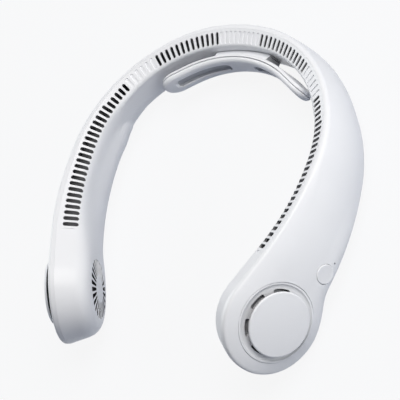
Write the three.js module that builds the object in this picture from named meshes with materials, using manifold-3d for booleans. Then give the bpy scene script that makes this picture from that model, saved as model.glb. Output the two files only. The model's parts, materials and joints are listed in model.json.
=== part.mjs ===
// Neckband fan: a U-shaped band of two shells with a centrifugal fan in the round bulb at each end.
// Air is drawn in round each bulb's cap and its inner grille, and leaves by the slots on the top strip.
// Units are millimetres. The band lies on a table as it is put down: +Z up, the U's open end towards -Y.
// Left and right are the wearer's: the wearer faces -Y, so left is +X.
import * as THREE from "three";
import { mergeVertices } from "three/addons/utils/BufferGeometryUtils.js";
import Module from "manifold-3d";

const wasm = await Module();
wasm.setup();

const rad = THREE.MathUtils.degToRad;
const mix = THREE.MathUtils.lerp;
const ease = THREE.MathUtils.smoothstep;

// Plan of the seam line between the shells, from the middle of the back to the bulb
const BACK_RADIUS = 97;
const BACK_ANGLE = rad(9.7);
const SHOULDER_RADIUS = 78;
const SHOULDER_ANGLE = rad(81);
const ARM_RADIUS = 162;
const TOE_IN = rad(22);
const BULB_STATION = 209.5;
const BULB_RADIUS = 30.6;

// Section of the band: lean from upright, height, and depth each side of the seam
const LEAN_BACK = rad(9.5);
const LEAN_BULB = rad(18.5);
const HEIGHT_BACK = 30.4;
const HEIGHT_TAPER = 0.17;
const OUTER_BACK = 3.5;
const OUTER_ARM = 5.5;
const OUTER_BULB = 7.2;
const INNER_BACK = 9.6;
const INNER_ARM = 13.2;
const INNER_BULB = 17.8;
const BULB_DOME = 0.9;
const STRIP_DROP_BACK = 3;
const STRIP_DROP_ARM = 3.7;
const RIM_DROP_BULB = 5;
const RIM_DROP_BELOW = 1;
const BATTERY_LAND = 3;
const WALL = 1.6;
const SEAM_GAP = 0.3;
const FIT = 0.3;

// Edge roundings of the section
const OUTER_TOP_ROUND = 4;
const OUTER_BULB_ROUND = 10;
const OUTER_LOW_ROUND_BACK = 5;
const OUTER_LOW_ROUND_ARM = 13;
const INNER_TOP_ROUND_BACK = 2;
const INNER_TOP_ROUND_ARM = 5;
const INNER_BULB_ROUND = 8;
const INNER_LOW_ROUND_BACK = 5;
const INNER_LOW_ROUND_ARM = 14;
const ROUND_SHARE = 0.85;
const LEAST_FACE = 0.6;

// Stations along the seam where the section changes
const SHOULDER_START = 20;
const SHOULDER_STATION = 84;
const ARM_START = 60;
const ARM_FULL = 170;
const LAND_START = 100;
const LAND_FULL = 107;
const HOLLOW_LAND_FULL = 136;
const BULB_BLEND = 150;
const BULB_CLOSE = 8;
const HEIGHT_SOFTNESS = 3;

// Air slots on the strip
const SLOT_WIDTH = 1.9;
const SLOT_MARGIN = 1.5;
const BACK_SLOTS = 13;
const BACK_SLOT_FIRST = 16.3;
const BACK_SLOT_PITCH = 3.5;
const BACK_SLOT_LENGTH = 6.9;
const ARM_SLOTS = 27;
const ARM_SLOT_FIRST = 84.9;
const ARM_SLOT_PITCH = 3.51;
const ARM_PITCH_GROWTH = 0.009;
const ARM_SLOT_LENGTH_FIRST = 6.6;
const ARM_SLOT_LENGTH_LAST = 8.8;
const SHORT_SLOTS = 5;
const SHORT_BY = 1;
const BLIND_AT_BACK = 9;
const BLIND_AT_SHOULDER = 6;
const BLIND_DEPTH = 0.5;

// Bulb: dish, cap and grille round the fan's axis; heights are outward from the seam
const DISH_RADIUS = 22.4;
const DISH_RIM = 6.9;
const DISH_RIM_WIDTH = 1.2;
const DISH_SLOPE = 1.6;
const DISH_FLOOR = 5.9;
const DISH_THICK = 1.4;
const DISH_SEAT = 4;
const DISH_FLANGE = 2;
const DISH_FLANGE_THICK = 1.1;
const INTAKE_SLOTS = 7;
const INTAKE_PHASE = rad(-7);
const INTAKE_INNER = 12.6;
const INTAKE_OUTER = 18.5;
const INTAKE_ARC = rad(33);
const CAP_RADIUS = 18.1;
const CAP_TOP = 10.5;
const CAP_THICK = 2.2;
const CAP_EDGE = 0.7;
const CAP_BOSS_RADIUS = 6.4;
const GRILLE_SLOTS = 24;
const GRILLE_HUB = 7.7;
const GRILLE_RADIUS = 17.3;
const GRILLE_OPEN = 0.54;

// Motor and impeller, along the fan's axis from the dish towards the grille
const MOTOR_PLATE_RADIUS = 10.5;
const MOTOR_PLATE_THICK = 1.2;
const TUBE_OUTER = 3.4;
const TUBE_WALL = 1;
const TUBE_LENGTH = 9.6;
const RUNNING_GAP = 0.08;
const SHAFT_RADIUS = 0.8;
const STATOR_RADIUS = 6.6;
const STATOR_LENGTH = 4.8;
const STATOR_POLES = 6;
const POLE_WIDTH = 2;
const SHOE_THICK = 0.9;
const SHOE_ARC = rad(44);
const MAGNET_THICK = 1;
const HUB_WALL = 1.2;
const HUB_CLEARANCE = 0.8;
const IMPELLER_RADIUS = 21.3;
const IMPELLER_EYE = 13;
const IMPELLER_TOP = -0.6;
const IMPELLER_END = -13.4;
const IMPELLER_DISC = -7;
const BLADES = 13;
const BLADE_THICK = 1;
const BLADE_SWEEP = rad(34);
const SCREW_RADIUS = 0.8;
const SCREW_HEAD_RADIUS = 1.4;
const SCREW_HEAD = 0.8;
const SCREW_LENGTH = 2.4;
const SCREW_CIRCLE = 8.6;

// Power button on the left arm, its board and the charging port
const BUTTON_STATION = 174;
const BUTTON_DOWN = 37;
const BUTTON_RADIUS = 5.5;
const BUTTON_THICK = 1.9;
const BUTTON_PROUD = 0.35;
const BUTTON_TRAVEL = 0.5;
const BUTTON_STEM_RADIUS = 1.6;
const SWITCH_SIZE = 6;
const SWITCH_HEIGHT = 2;
const SWITCH_DEPTH = 5.2;
const BOARD_LENGTH = 20;
const BOARD_BELOW = 5.2;
const BOARD_ABOVE = 8;
const BOARD_THICK = 1;
const LIGHT_AHEAD = 8;
const LIGHT_BELOW = 1.6;
const LIGHT_RADIUS = 0.5;
const LIGHT_RECESS = 0.6;
const PORT_WIDTH = 8.9;
const PORT_HEIGHT = 3.2;
const PORT_LENGTH = 7;
const PORT_WALL = 0.35;
const PORT_RECESS = 0.8;

// Battery cells, air duct partitions and wiring in the arms
const CELL_STATION = 136;
const CELL_LENGTH = 46;
const CELL_HEIGHT = 12;
const CELL_THICK = 7;
const CELL_INWARD = 6;
const PARTITION_DOWN = 13;
const PARTITION_THICK = 1;
const PARTITION_GAP = 0.9;
const PARTITION_START = 100;
const PARTITION_END = 180;
const LOOM_RADIUS = 1;
const LOOM_SIDES = 5;
const LOOM_LEFT_END = 158;
const LOOM_RIGHT_END = 182;

// Neck pad at the back
const PAD_RADIUS = 64;
const PAD_ARC = 36.8;
const PAD_HALF = 54;
const PAD_FORWARD = 14.4;
const PAD_TOP = -6.7;
const PAD_HEIGHT = 17.4;
const PLATE_THICK = 1.8;
const CUSHION_THICK = 3.5;
const CUSHION_CROWN = 0.9;
const RECESS_FROM = 8.8;
const RECESS_TO = 45.3;
const RECESS_HEIGHT = 5;
const RECESS_DEPTH = 1.9;
const BRACKET_HALF = 21;
const BRACKET_TOP = 9.5;
const BRACKET_RISE = 5;
const BRACKET_BOTTOM = 20;
const BRACKET_WALL = 1;
const BRACKET_SCREW_AT = 12;
const BRACKET_SCREW_LENGTH = 9;

// Facets
const BAND_STEPS = 14;
const BLEND_STEPS = 6;
const TURN_STEPS = 10;
const SLOT_END_STEPS = 2;
const ROUND = 32;
const SMALL_ROUND = 16;
const PAD_STEPS = 16;
const RECESS_STEPS = 6;
const BRACKET_STEPS = 10;
const PAD_END_STEPS = [0, 0.1, 0.3, 0.6, 1];
const CUSHION_ACROSS = [-1, -0.8, -0.3, 0.3, 0.8, 1];
const LEAST_END = 0.04;

// How far the lowest edges are cut flat where the band rests
const REST_LAND = 0.35;
const REACH = 80;

// Materials
const finish = (color, roughness, metalness) =>
  new THREE.MeshStandardMaterial({ color, roughness, metalness });
const white = finish(0xf1f2f4, 0.32, 0);
const pale = finish(0xe4e6ea, 0.45, 0);
const soft = finish(0xd9dbe0, 0.8, 0);
const dark = finish(0x2a2c30, 0.6, 0);
const steel = finish(0xb9bcc0, 0.3, 1);
const bronze = finish(0xa9834f, 0.45, 1);
const copper = finish(0xb06a3c, 0.5, 1);
const green = finish(0x1f5a3c, 0.6, 0);
const foil = finish(0xb4b8be, 0.5, 0.4);
const glow = finish(0xf7f7f0, 0.2, 0);

// A geometry's triangles as a solid, turned to face outwards.
function solid(geometry) {
  const bare = new THREE.BufferGeometry();
  bare.setAttribute("position", geometry.getAttribute("position"));
  bare.setIndex(geometry.index);
  const merged = mergeVertices(bare, 1e-4);
  const kept = [];
  const index = merged.index.array;
  for (let i = 0; i < index.length; i += 3) {
    const [a, b, c] = [index[i], index[i + 1], index[i + 2]];
    if (a !== b && b !== c && c !== a) kept.push(a, b, c);
  }
  const vertProperties = merged.attributes.position.array;
  const make = (list) =>
    new wasm.Manifold(new wasm.Mesh({ numProp: 3, vertProperties, triVerts: new Uint32Array(list) }));
  const made = make(kept);
  if (made.volume() > 0) return made;
  return make(kept.slice().reverse());
}

// A solid's triangles as a geometry.
function geometryOf(body) {
  const mesh = body.getMesh();
  const geometry = new THREE.BufferGeometry();
  geometry.setAttribute("position", new THREE.BufferAttribute(mesh.vertProperties.slice(), 3));
  geometry.setIndex(new THREE.BufferAttribute(mesh.triVerts.slice(), 1));
  return geometry;
}

// Rows of points, all as long as each other, as one closed skin: loops joined in order, ends closed by fans.
function loft(loops) {
  const size = loops[0].length;
  const points = loops.flat();
  const index = [];
  for (let i = 0; i + 1 < loops.length; i++) {
    for (let j = 0; j < size; j++) {
      const a = i * size + j;
      const b = i * size + ((j + 1) % size);
      index.push(a, b, b + size, a, b + size, a + size);
    }
  }
  const last = (loops.length - 1) * size;
  for (let j = 1; j + 1 < size; j++) {
    index.push(0, j + 1, j);
    index.push(last, last + j, last + j + 1);
  }
  return new THREE.BufferGeometry().setFromPoints(points).setIndex(index);
}

// A profile of [radius, height] points turned about the Z axis.
function turned(profile, segments) {
  const points = profile.map(([r, z]) => new THREE.Vector2(r, z));
  points.push(points[0].clone());
  return new THREE.LatheGeometry(points, segments).rotateX(Math.PI / 2);
}

// A tube or disc about the Z axis between two heights.
const ring = (inner, outer, low, high, segments) =>
  turned([[inner, low], [outer, low], [outer, high], [inner, high]], segments);

// A box between two corners.
function box(low, high) {
  const size = high.map((h, i) => h - low[i]);
  const middle = high.map((h, i) => (h + low[i]) / 2);
  return new THREE.BoxGeometry(...size).translate(...middle);
}

// Plan position of the seam and its outward direction, a length u along it from the middle of the back.
const ARM_ANGLE = Math.PI / 2 + TOE_IN - BACK_ANGLE - SHOULDER_ANGLE;
function planAt(u) {
  const side = u < 0 ? -1 : 1;
  let left = Math.abs(u);
  let heading = 0;
  let x = 0;
  let y = 0;
  const arcs = [[BACK_RADIUS, BACK_ANGLE], [SHOULDER_RADIUS, SHOULDER_ANGLE], [ARM_RADIUS, ARM_ANGLE]];
  for (const [radius, angle] of arcs) {
    const turn = Math.min(left / radius, angle);
    x += radius * (Math.sin(heading + turn) - Math.sin(heading));
    y += radius * (Math.cos(heading + turn) - Math.cos(heading));
    heading += turn;
    left -= radius * turn;
  }
  x += left * Math.cos(heading);
  y -= left * Math.sin(heading);
  return { x: side * x, y, outX: side * Math.sin(heading), outY: Math.cos(heading) };
}

// Outward and upward directions of the leaning section, and the seam's point, at a station.
function frameAt(u) {
  const { x, y, outX, outY } = planAt(u);
  const lean = mix(LEAN_BACK, LEAN_BULB, ease(Math.abs(u), ARM_START, ARM_FULL));
  const out = new THREE.Vector3(outX * Math.cos(lean), outY * Math.cos(lean), Math.sin(lean));
  const up = new THREE.Vector3(-outX * Math.sin(lean), -outY * Math.sin(lean), Math.cos(lean));
  return { origin: new THREE.Vector3(x, y, 0), out, up };
}

// The point at station u, w outward from the seam and v up from it.
function place(u, w, v) {
  const { origin, out, up } = frameAt(u);
  return origin.addScaledVector(out, w).addScaledVector(up, v);
}

// A size that has one value at the back, one on the arm and one at the bulb.
function along(u, back, arm, bulb) {
  const s = Math.abs(u);
  return mix(mix(back, arm, ease(s, ARM_START, ARM_FULL)), bulb, ease(s, BULB_BLEND, BULB_STATION));
}

// Height of the band below the seam's upper run: a taper that swells into the bulb's circle.
function heightAt(u) {
  const s = Math.abs(u);
  const taper = HEIGHT_BACK + HEIGHT_TAPER * Math.max(s - SHOULDER_STATION, 0);
  const across = (BULB_STATION - s) / BULB_RADIUS;
  const circle = BULB_RADIUS * (1 + Math.sqrt(Math.max(1 - across * across, 0)) - Math.max(across - 1, 0));
  const swollen = (taper + circle + Math.hypot(taper - circle, HEIGHT_SOFTNESS)) / 2;
  return mix(swollen, 2 * BULB_RADIUS, ease(s, BULB_STATION - BULB_CLOSE, BULB_STATION));
}

// Rounding at the foot of the inner face, which grows over the shoulder.
function lowRoundAt(u) {
  const s = Math.abs(u);
  const arm = mix(INNER_LOW_ROUND_BACK, INNER_LOW_ROUND_ARM, ease(s, SHOULDER_START, SHOULDER_STATION));
  return mix(arm, INNER_BULB_ROUND, ease(s, BULB_BLEND, BULB_STATION));
}

// The hollow's own land starts later than the skin's, so that the wall is whole at the step.
function landAt(u, inset) {
  const s = Math.abs(u);
  const [from, to] = inset > 0 ? [LAND_FULL, HOLLOW_LAND_FULL] : [LAND_START, LAND_FULL];
  return BATTERY_LAND * ease(s, from, to) * (1 - ease(s, BULB_BLEND, BULB_STATION));
}

const outerAt = (u) => along(u, OUTER_BACK, OUTER_ARM, OUTER_BULB);
const innerAt = (u) => along(u, INNER_BACK, INNER_ARM, INNER_BULB);
const dropAt = (u) => along(u, STRIP_DROP_BACK, STRIP_DROP_ARM, RIM_DROP_BULB);
// Height of the strip's surface, w outward from the seam.
const stripAt = (u, w) => (dropAt(u) / innerAt(u)) * w;

// Points of a rounding from one point to another, drawn towards a corner.
function rounding(from, corner, to, steps) {
  const curve = new THREE.QuadraticBezierCurve(from, corner, to);
  return curve.getPoints(steps);
}

// Half of the section's loop, from the outer middle over one edge to the inner middle; edge +1 is above.
function halfSection(u, edge, inset, steps) {
  const above = edge > 0;
  const outer = outerAt(u) - inset;
  const land = landAt(u, inset);
  const inner = innerAt(u) + (above ? 0 : land) - inset;
  const low = -heightAt(u);
  const rim = above ? -inset : low + inset;
  const outerRound = above
    ? along(u, OUTER_TOP_ROUND, OUTER_TOP_ROUND, OUTER_BULB_ROUND)
    : along(u, OUTER_LOW_ROUND_BACK, OUTER_LOW_ROUND_ARM, OUTER_BULB_ROUND);
  const topRound = along(u, INNER_TOP_ROUND_BACK, INNER_TOP_ROUND_ARM, INNER_BULB_ROUND);
  const innerRound = above ? topRound : lowRoundAt(u);
  const drop = above ? dropAt(u) : along(u, RIM_DROP_BELOW, RIM_DROP_BELOW, RIM_DROP_BULB);
  const rimRound = Math.min(innerRound, ROUND_SHARE * inner);
  const faceRound = Math.min(innerRound, -low / 2 - drop - inset - LEAST_FACE);
  const seam = new THREE.Vector2(0, rim);
  const shoulder = new THREE.Vector2(outer, rim);
  const corner = new THREE.Vector2(along(u, 0, 0, BULB_DOME) - inner, rim - edge * drop);
  const back = seam.clone().sub(corner).setLength(rimRound).add(corner);
  const face = corner.clone().add(new THREE.Vector2(0, -edge * faceRound));
  const middleInner = -(inner + (above ? land / 2 : -land / 2));
  return [
    new THREE.Vector2(outer, low / 2),
    ...rounding(new THREE.Vector2(outer, rim - edge * outerRound), shoulder, seam, steps),
    ...rounding(back, corner, face, steps),
    new THREE.Vector2(middleInner, low / 2),
  ];
}

// Stations of the band's sections from one bulb's axis to the other's.
function sectionStations(stride) {
  const stations = [];
  for (let i = 0; i < BAND_STEPS; i += stride) stations.push((i / BAND_STEPS) * BULB_BLEND);
  for (let i = 0; i <= BLEND_STEPS; i++) stations.push(mix(BULB_BLEND, BULB_STATION, i / BLEND_STEPS));
  return [...stations.slice(1).reverse().map((u) => -u), ...stations];
}

// The closed skin of the band: sections from bulb to bulb, then half a turn of the upper half at each end.
function bandSkin(inset, stride, steps) {
  const both = sectionStations(stride);
  const points = [];
  const index = [];
  let size = 0;
  for (const u of both) {
    const upper = halfSection(u, 1, inset, steps);
    const lower = halfSection(u, -1, inset, steps).slice(1, -1).reverse();
    const loop = [...upper, ...lower];
    size = loop.length;
    for (const p of loop) points.push(place(u, p.x, p.y));
  }
  const quad = (a, b, c, d) => index.push(a, b, c, a, c, d);
  for (let i = 0; i + 1 < both.length; i++) {
    for (let j = 0; j < size; j++) {
      const next = (j + 1) % size;
      quad(i * size + j, i * size + next, (i + 1) * size + next, (i + 1) * size + j);
    }
  }
  const half = size / 2;
  for (const side of [-1, 1]) {
    const start = side < 0 ? 0 : (both.length - 1) * size;
    const upper = halfSection(BULB_STATION, 1, inset, steps);
    const first = points.length;
    for (let k = 1; k < TURN_STEPS; k++) {
      const turn = (Math.PI * k) / TURN_STEPS;
      for (let j = 1; j < half; j++) {
        const reach = upper[j].y + BULB_RADIUS;
        const u = side * (BULB_STATION + reach * Math.sin(turn));
        points.push(place(u, upper[j].x, reach * Math.cos(turn) - BULB_RADIUS));
      }
    }
    const vertex = (k, j) => {
      if (j === 0 || j === half || k === 0) return start + j;
      if (k === TURN_STEPS) return start + size - j;
      return first + (k - 1) * (half - 1) + j - 1;
    };
    for (let k = 0; k < TURN_STEPS; k++) {
      for (let j = 0; j < half; j++) {
        const corners = [vertex(k, j), vertex(k, j + 1), vertex(k + 1, j + 1), vertex(k + 1, j)];
        quad(...(side < 0 ? corners.reverse() : corners));
      }
    }
  }
  return new THREE.BufferGeometry().setFromPoints(points).setIndex(index);
}

// A run of the band between two depths and two heights, along the given stations.
function bandRun(stations, corners) {
  return loft(stations.map((u) => corners(u).map(([w, v]) => place(u, w, v))));
}

// Everything on one side of the seam, as a solid to cut with.
function seamSide(near, far) {
  const end = BULB_STATION + BULB_RADIUS + REACH / 4;
  const stations = [-end, ...sectionStations(1), end];
  const corners = [[near, REACH / 2], [far, REACH / 2], [far, -REACH], [near, -REACH]];
  return solid(bandRun(stations, () => corners));
}

// One slot of the strip: a pill from w1 in to w2, cut down to a depth.
function slotCutter(u, w1, w2, depth) {
  const r = SLOT_WIDTH / 2;
  const outline = [];
  for (let k = 0; k <= SLOT_END_STEPS; k++) {
    const a = (Math.PI * k) / SLOT_END_STEPS;
    outline.push([r * Math.cos(a), w1 - r + r * Math.sin(a)]);
  }
  for (let k = 0; k <= SLOT_END_STEPS; k++) {
    const a = (Math.PI * k) / SLOT_END_STEPS;
    outline.push([-r * Math.cos(a), w2 + r - r * Math.sin(a)]);
  }
  const { up } = frameAt(u);
  const level = (v) => outline.map(([du, w]) => place(u + du, w, stripAt(u, w)).addScaledVector(up, v));
  return solid(loft([level(-depth), level(WALL)]));
}

// Stations and ends of the open and the blind slots, on one side of the band's middle.
function slotPlan() {
  const open = [];
  const blind = [];
  for (let k = 0; k < BACK_SLOTS; k++) {
    const u = BACK_SLOT_FIRST + k * BACK_SLOT_PITCH;
    open.push([u, -SLOT_MARGIN, -SLOT_MARGIN - BACK_SLOT_LENGTH]);
  }
  for (let k = 0; k < ARM_SLOTS; k++) {
    const u = ARM_SLOT_FIRST + k * (ARM_SLOT_PITCH + k * ARM_PITCH_GROWTH);
    const length = mix(ARM_SLOT_LENGTH_FIRST, ARM_SLOT_LENGTH_LAST, k / (ARM_SLOTS - 1));
    const short = k < SHORT_SLOTS ? SHORT_BY : 0;
    open.push([u, -SLOT_MARGIN - short, -SLOT_MARGIN - length]);
  }
  const lastBack = open[BACK_SLOTS - 1][0];
  for (let k = 1; k <= BLIND_AT_SHOULDER; k++) {
    const u = mix(lastBack, ARM_SLOT_FIRST, k / (BLIND_AT_SHOULDER + 1));
    blind.push([u, -SLOT_MARGIN, -SLOT_MARGIN - BACK_SLOT_LENGTH]);
  }
  const [lastArm, , armEnd] = open[open.length - 1];
  blind.push([lastArm + ARM_SLOT_PITCH, -SLOT_MARGIN, armEnd]);
  return { open, blind };
}

// A pose at a bulb's axis: Z outward along the axis, Y up the section.
function bulbPose(side) {
  const { out, up } = frameAt(side * BULB_STATION);
  const across = up.clone().cross(out);
  const pose = new THREE.Matrix4().makeBasis(across, up, out);
  return pose.setPosition(place(side * BULB_STATION, 0, -BULB_RADIUS));
}

// A pose on the outer face under the power button: Z out of the surface, X along the band from the bulb.
function buttonPose() {
  const low = -heightAt(BUTTON_STATION);
  const round = along(BUTTON_STATION, OUTER_LOW_ROUND_BACK, OUTER_LOW_ROUND_ARM, OUTER_BULB_ROUND);
  const outer = outerAt(BUTTON_STATION);
  const t = 1 - Math.sqrt(Math.max(-BUTTON_DOWN - low, 0) / round);
  const w = outer * (1 - Math.max(t, 0) ** 2);
  const { out, up } = frameAt(BUTTON_STATION);
  const tilt = Math.atan2(outer * Math.max(t, 0), round * (1 - Math.max(t, 0)));
  const normal = out.clone().multiplyScalar(Math.cos(tilt)).addScaledVector(up, -Math.sin(tilt));
  const across = up.clone().cross(out).normalize();
  const pose = new THREE.Matrix4().makeBasis(across, normal.clone().cross(across), normal);
  return pose.setPosition(place(BUTTON_STATION, w, -BUTTON_DOWN));
}

const moved = (geometry, pose) => solid(geometry.clone().applyMatrix4(pose));
const cutAll = (body, cutters) => cutters.reduce((left, cutter) => left.subtract(cutter), body);

// An arc-shaped slot with round ends, about the Z axis, between two heights.
function arcSlot(inner, outer, arc, middle, low, high) {
  const r = (inner + outer) / 2;
  const half = (outer - inner) / 2;
  const swing = arc / 2 - half / r;
  const at = (angle) => [r * Math.cos(angle), r * Math.sin(angle)];
  const shape = new THREE.Shape();
  shape.absarc(0, 0, outer, middle - swing, middle + swing, false);
  shape.absarc(...at(middle + swing), half, middle + swing, middle + swing + Math.PI, false);
  shape.absarc(0, 0, inner, middle + swing, middle - swing, true);
  shape.absarc(...at(middle - swing), half, middle - swing + Math.PI, middle - swing + 2 * Math.PI, false);
  const depth = high - low;
  const geometry = new THREE.ExtrudeGeometry(shape, { depth, bevelEnabled: false, curveSegments: 2 });
  return geometry.translate(0, 0, low);
}

// The two shells before their openings are cut
const skin = solid(bandSkin(0, 1, 3));
const hollow = solid(bandSkin(WALL, 2, 2));
const walls = skin.subtract(hollow);
const outerBlank = walls.intersect(seamSide(SEAM_GAP / 2, REACH / 2));
const innerBlank = walls.intersect(seamSide(-SEAM_GAP / 2, -REACH / 2));

// The band is tipped back until the back's lower edge and the bulbs touch the same plane.
function restOf(points) {
  const lowest = (tilt, atBack) => {
    let least = Infinity;
    for (const p of points) {
      const z = p.z * Math.cos(tilt) - p.y * Math.sin(tilt);
      if (p.y > -BACK_RADIUS / 2 === atBack) least = Math.min(least, z);
    }
    return least;
  };
  let [low, high] = [0, rad(30)];
  for (let i = 0; i < 40; i++) {
    const tilt = (low + high) / 2;
    if (lowest(tilt, true) > lowest(tilt, false)) low = tilt;
    else high = tilt;
  }
  return { tilt: low, floor: lowest(low, true) };
}

function pointsOf(geometry) {
  const position = geometry.getAttribute("position");
  const points = [];
  for (let i = 0; i < position.count; i++) points.push(new THREE.Vector3().fromBufferAttribute(position, i));
  return points;
}

const skinPoints = pointsOf(geometryOf(skin));
const rest = restOf(skinPoints);
const spreadY = skinPoints.map((p) => p.y * Math.cos(rest.tilt) + p.z * Math.sin(rest.tilt));
const middleY = (Math.max(...spreadY) + Math.min(...spreadY)) / 2;
const fan = new THREE.Group();
fan.name = "neckband_fan";
const band = new THREE.Group();
band.name = "band";
band.rotation.x = -rest.tilt;
band.position.set(0, -middleY, -rest.floor - REST_LAND);
band.updateMatrix();
fan.add(band);
const slab = box([-2 * REACH, -2 * REACH, -REACH], [2 * REACH, 2 * REACH, 0]);
const table = moved(slab, band.matrix.clone().invert());

function addMesh(parent, name, body, material) {
  const mesh = new THREE.Mesh(geometryOf(body.isBufferGeometry ? solid(body) : body), material);
  mesh.name = name;
  parent.add(mesh);
}

// Outer shell: openings for the dishes, the button and the light
function outerShell() {
  const button = buttonPose();
  const cutters = [table];
  for (const side of [-1, 1]) {
    const hole = ring(0, DISH_RADIUS + FIT, 0, REACH / 2, ROUND);
    cutters.push(moved(hole, bulbPose(side)));
  }
  cutters.push(moved(ring(0, BUTTON_RADIUS + FIT, -2 * WALL, 2 * WALL, SMALL_ROUND), button));
  const light = ring(0, LIGHT_RADIUS + FIT / 2, -2 * WALL, 2 * WALL, SMALL_ROUND / 2);
  cutters.push(moved(light.translate(LIGHT_AHEAD, -LIGHT_BELOW, 0), button));
  addMesh(band, "outer_shell", cutAll(outerBlank, cutters), white);
}

// Inner shell: air slots, blind slots, the grilles, the charging port's mouth and the bracket's screw holes
function innerShell() {
  const { open, blind } = slotPlan();
  const cutters = [table];
  for (const side of [-1, 1]) {
    for (const [u, w1, w2] of open) cutters.push(slotCutter(side * u, w1, w2, 2 * WALL));
    for (const [u, w1, w2] of blind) cutters.push(slotCutter(side * u, w1, w2, BLIND_DEPTH));
    const pose = bulbPose(side);
    for (let k = 0; k < GRILLE_SLOTS; k++) {
      const angle = (k * 2 * Math.PI) / GRILLE_SLOTS;
      cutters.push(moved(grilleWedge().rotateZ(angle), pose));
    }
  }
  for (let k = 0; k < BLIND_AT_BACK; k++) {
    const u = mix(-BACK_SLOT_FIRST, BACK_SLOT_FIRST, (k + 1) / (BLIND_AT_BACK + 1));
    cutters.push(slotCutter(u, -SLOT_MARGIN, -SLOT_MARGIN - BACK_SLOT_LENGTH, BLIND_DEPTH));
  }
  cutters.push(moved(portBlock(FIT, PORT_LENGTH), buttonPose()));
  for (const x of [-BRACKET_SCREW_AT, BRACKET_SCREW_AT]) {
    cutters.push(moved(bracketHole(), bracketScrewPose(x)));
  }
  addMesh(band, "inner_shell", cutAll(innerBlank, cutters), white);
}

// One wedge of the radial grille, through the inner face, along +X.
function grilleWedge() {
  const half = (r) => (GRILLE_OPEN * Math.PI * r) / GRILLE_SLOTS;
  const outline = [[GRILLE_HUB, -half(GRILLE_HUB)], [GRILLE_RADIUS, -half(GRILLE_RADIUS)]];
  outline.push([GRILLE_RADIUS, half(GRILLE_RADIUS)], [GRILLE_HUB, half(GRILLE_HUB)]);
  const level = (z) => outline.map(([x, y]) => new THREE.Vector3(x, y, z));
  return loft([level(-INNER_BULB - WALL), level(-INNER_BULB + 2 * WALL)]);
}

// The charging port's outline under the board, grown by a clearance and drawn out past its mouth.
const boardTop = -SWITCH_DEPTH;
const portMouth = -(heightAt(BUTTON_STATION) - BUTTON_DOWN) + PORT_RECESS;
function portBlock(clearance, reach) {
  const high = boardTop - BOARD_THICK - FIT + clearance;
  const low = high - PORT_HEIGHT - 2 * clearance;
  const half = PORT_WIDTH / 2 + clearance;
  return box([-half, portMouth - reach, low], [half, portMouth + PORT_LENGTH, high]);
}

// Intake dishes: a sloped ring let into the outer shell, with arc slots and a flange behind the shell
function intakeDish(group, name, side) {
  const under = DISH_FLOOR - DISH_THICK;
  const skirt = DISH_RADIUS - DISH_THICK;
  const flange = DISH_RADIUS + DISH_FLANGE;
  const flangeLow = DISH_SEAT - DISH_FLANGE_THICK;
  const land = DISH_RADIUS - DISH_RIM_WIDTH;
  const profile = [[0, under], [skirt, under], [skirt, flangeLow], [flange, flangeLow], [flange, DISH_SEAT]];
  profile.push([DISH_RADIUS, DISH_SEAT], [DISH_RADIUS, DISH_RIM], [land, DISH_RIM]);
  profile.push([land - DISH_SLOPE, DISH_FLOOR], [0, DISH_FLOOR]);
  const cutters = [];
  for (let k = 0; k < INTAKE_SLOTS; k++) {
    const angle = Math.PI / 2 + side * (INTAKE_PHASE + (k * 2 * Math.PI) / INTAKE_SLOTS);
    const slot = arcSlot(INTAKE_INNER, INTAKE_OUTER, INTAKE_ARC, angle, under - WALL, DISH_FLOOR + WALL);
    cutters.push(solid(slot));
  }
  for (const x of [-SCREW_CIRCLE, SCREW_CIRCLE]) {
    const hole = ring(0, SCREW_RADIUS + FIT / 2, under - WALL, DISH_FLOOR - FIT, SMALL_ROUND / 2);
    cutters.push(solid(hole.translate(x, 0, 0)));
  }
  addMesh(group, name + "_intake_dish", cutAll(solid(turned(profile, ROUND)), cutters), white);
}

// Intake caps: a flat disc with a soft edge on a short boss
function intakeCap(group, name) {
  const under = CAP_TOP - CAP_THICK;
  const profile = [[0, DISH_FLOOR + FIT], [CAP_BOSS_RADIUS, DISH_FLOOR + FIT], [CAP_BOSS_RADIUS, under]];
  profile.push([CAP_RADIUS - CAP_EDGE, under], [CAP_RADIUS, under + CAP_EDGE]);
  profile.push([CAP_RADIUS, CAP_TOP - CAP_EDGE], [CAP_RADIUS - CAP_EDGE, CAP_TOP], [0, CAP_TOP]);
  addMesh(group, name + "_intake_cap", turned(profile, ROUND), white);
}

// Motor: a plate screwed under the dish, whose tube carries the stator outside and the bush inside
function motor(group, name) {
  const seat = DISH_FLOOR - DISH_THICK - FIT;
  const low = seat - MOTOR_PLATE_THICK;
  const bore = TUBE_OUTER - TUBE_WALL;
  const tubeEnd = seat - TUBE_LENGTH;
  const profile = [[bore, tubeEnd], [TUBE_OUTER, tubeEnd], [TUBE_OUTER, low], [MOTOR_PLATE_RADIUS, low]];
  profile.push([MOTOR_PLATE_RADIUS, seat], [bore, seat]);
  const holes = [-SCREW_CIRCLE, SCREW_CIRCLE].map((x) =>
    solid(ring(0, SCREW_RADIUS + FIT / 2, low - WALL, seat + WALL, SMALL_ROUND / 2).translate(x, 0, 0)),
  );
  addMesh(group, name + "_motor_plate", cutAll(solid(turned(profile, SMALL_ROUND)), holes), dark);
  const bushOuter = bore - FIT / 2;
  const bush = ring(SHAFT_RADIUS + RUNNING_GAP, bushOuter, tubeEnd, seat, SMALL_ROUND);
  addMesh(group, name + "_motor_bush", bush, bronze);
  const statorTop = low - 2 * HUB_CLEARANCE;
  addMesh(group, name + "_motor_stator", statorGeometry(statorTop - STATOR_LENGTH, statorTop), copper);
  [-SCREW_CIRCLE, SCREW_CIRCLE].forEach((x, i) => {
    const screw = screwGeometry(SCREW_LENGTH).translate(x, 0, low - FIT / 2);
    addMesh(group, name + "_motor_screw_" + (i + 1), screw, steel);
  });
}

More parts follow.
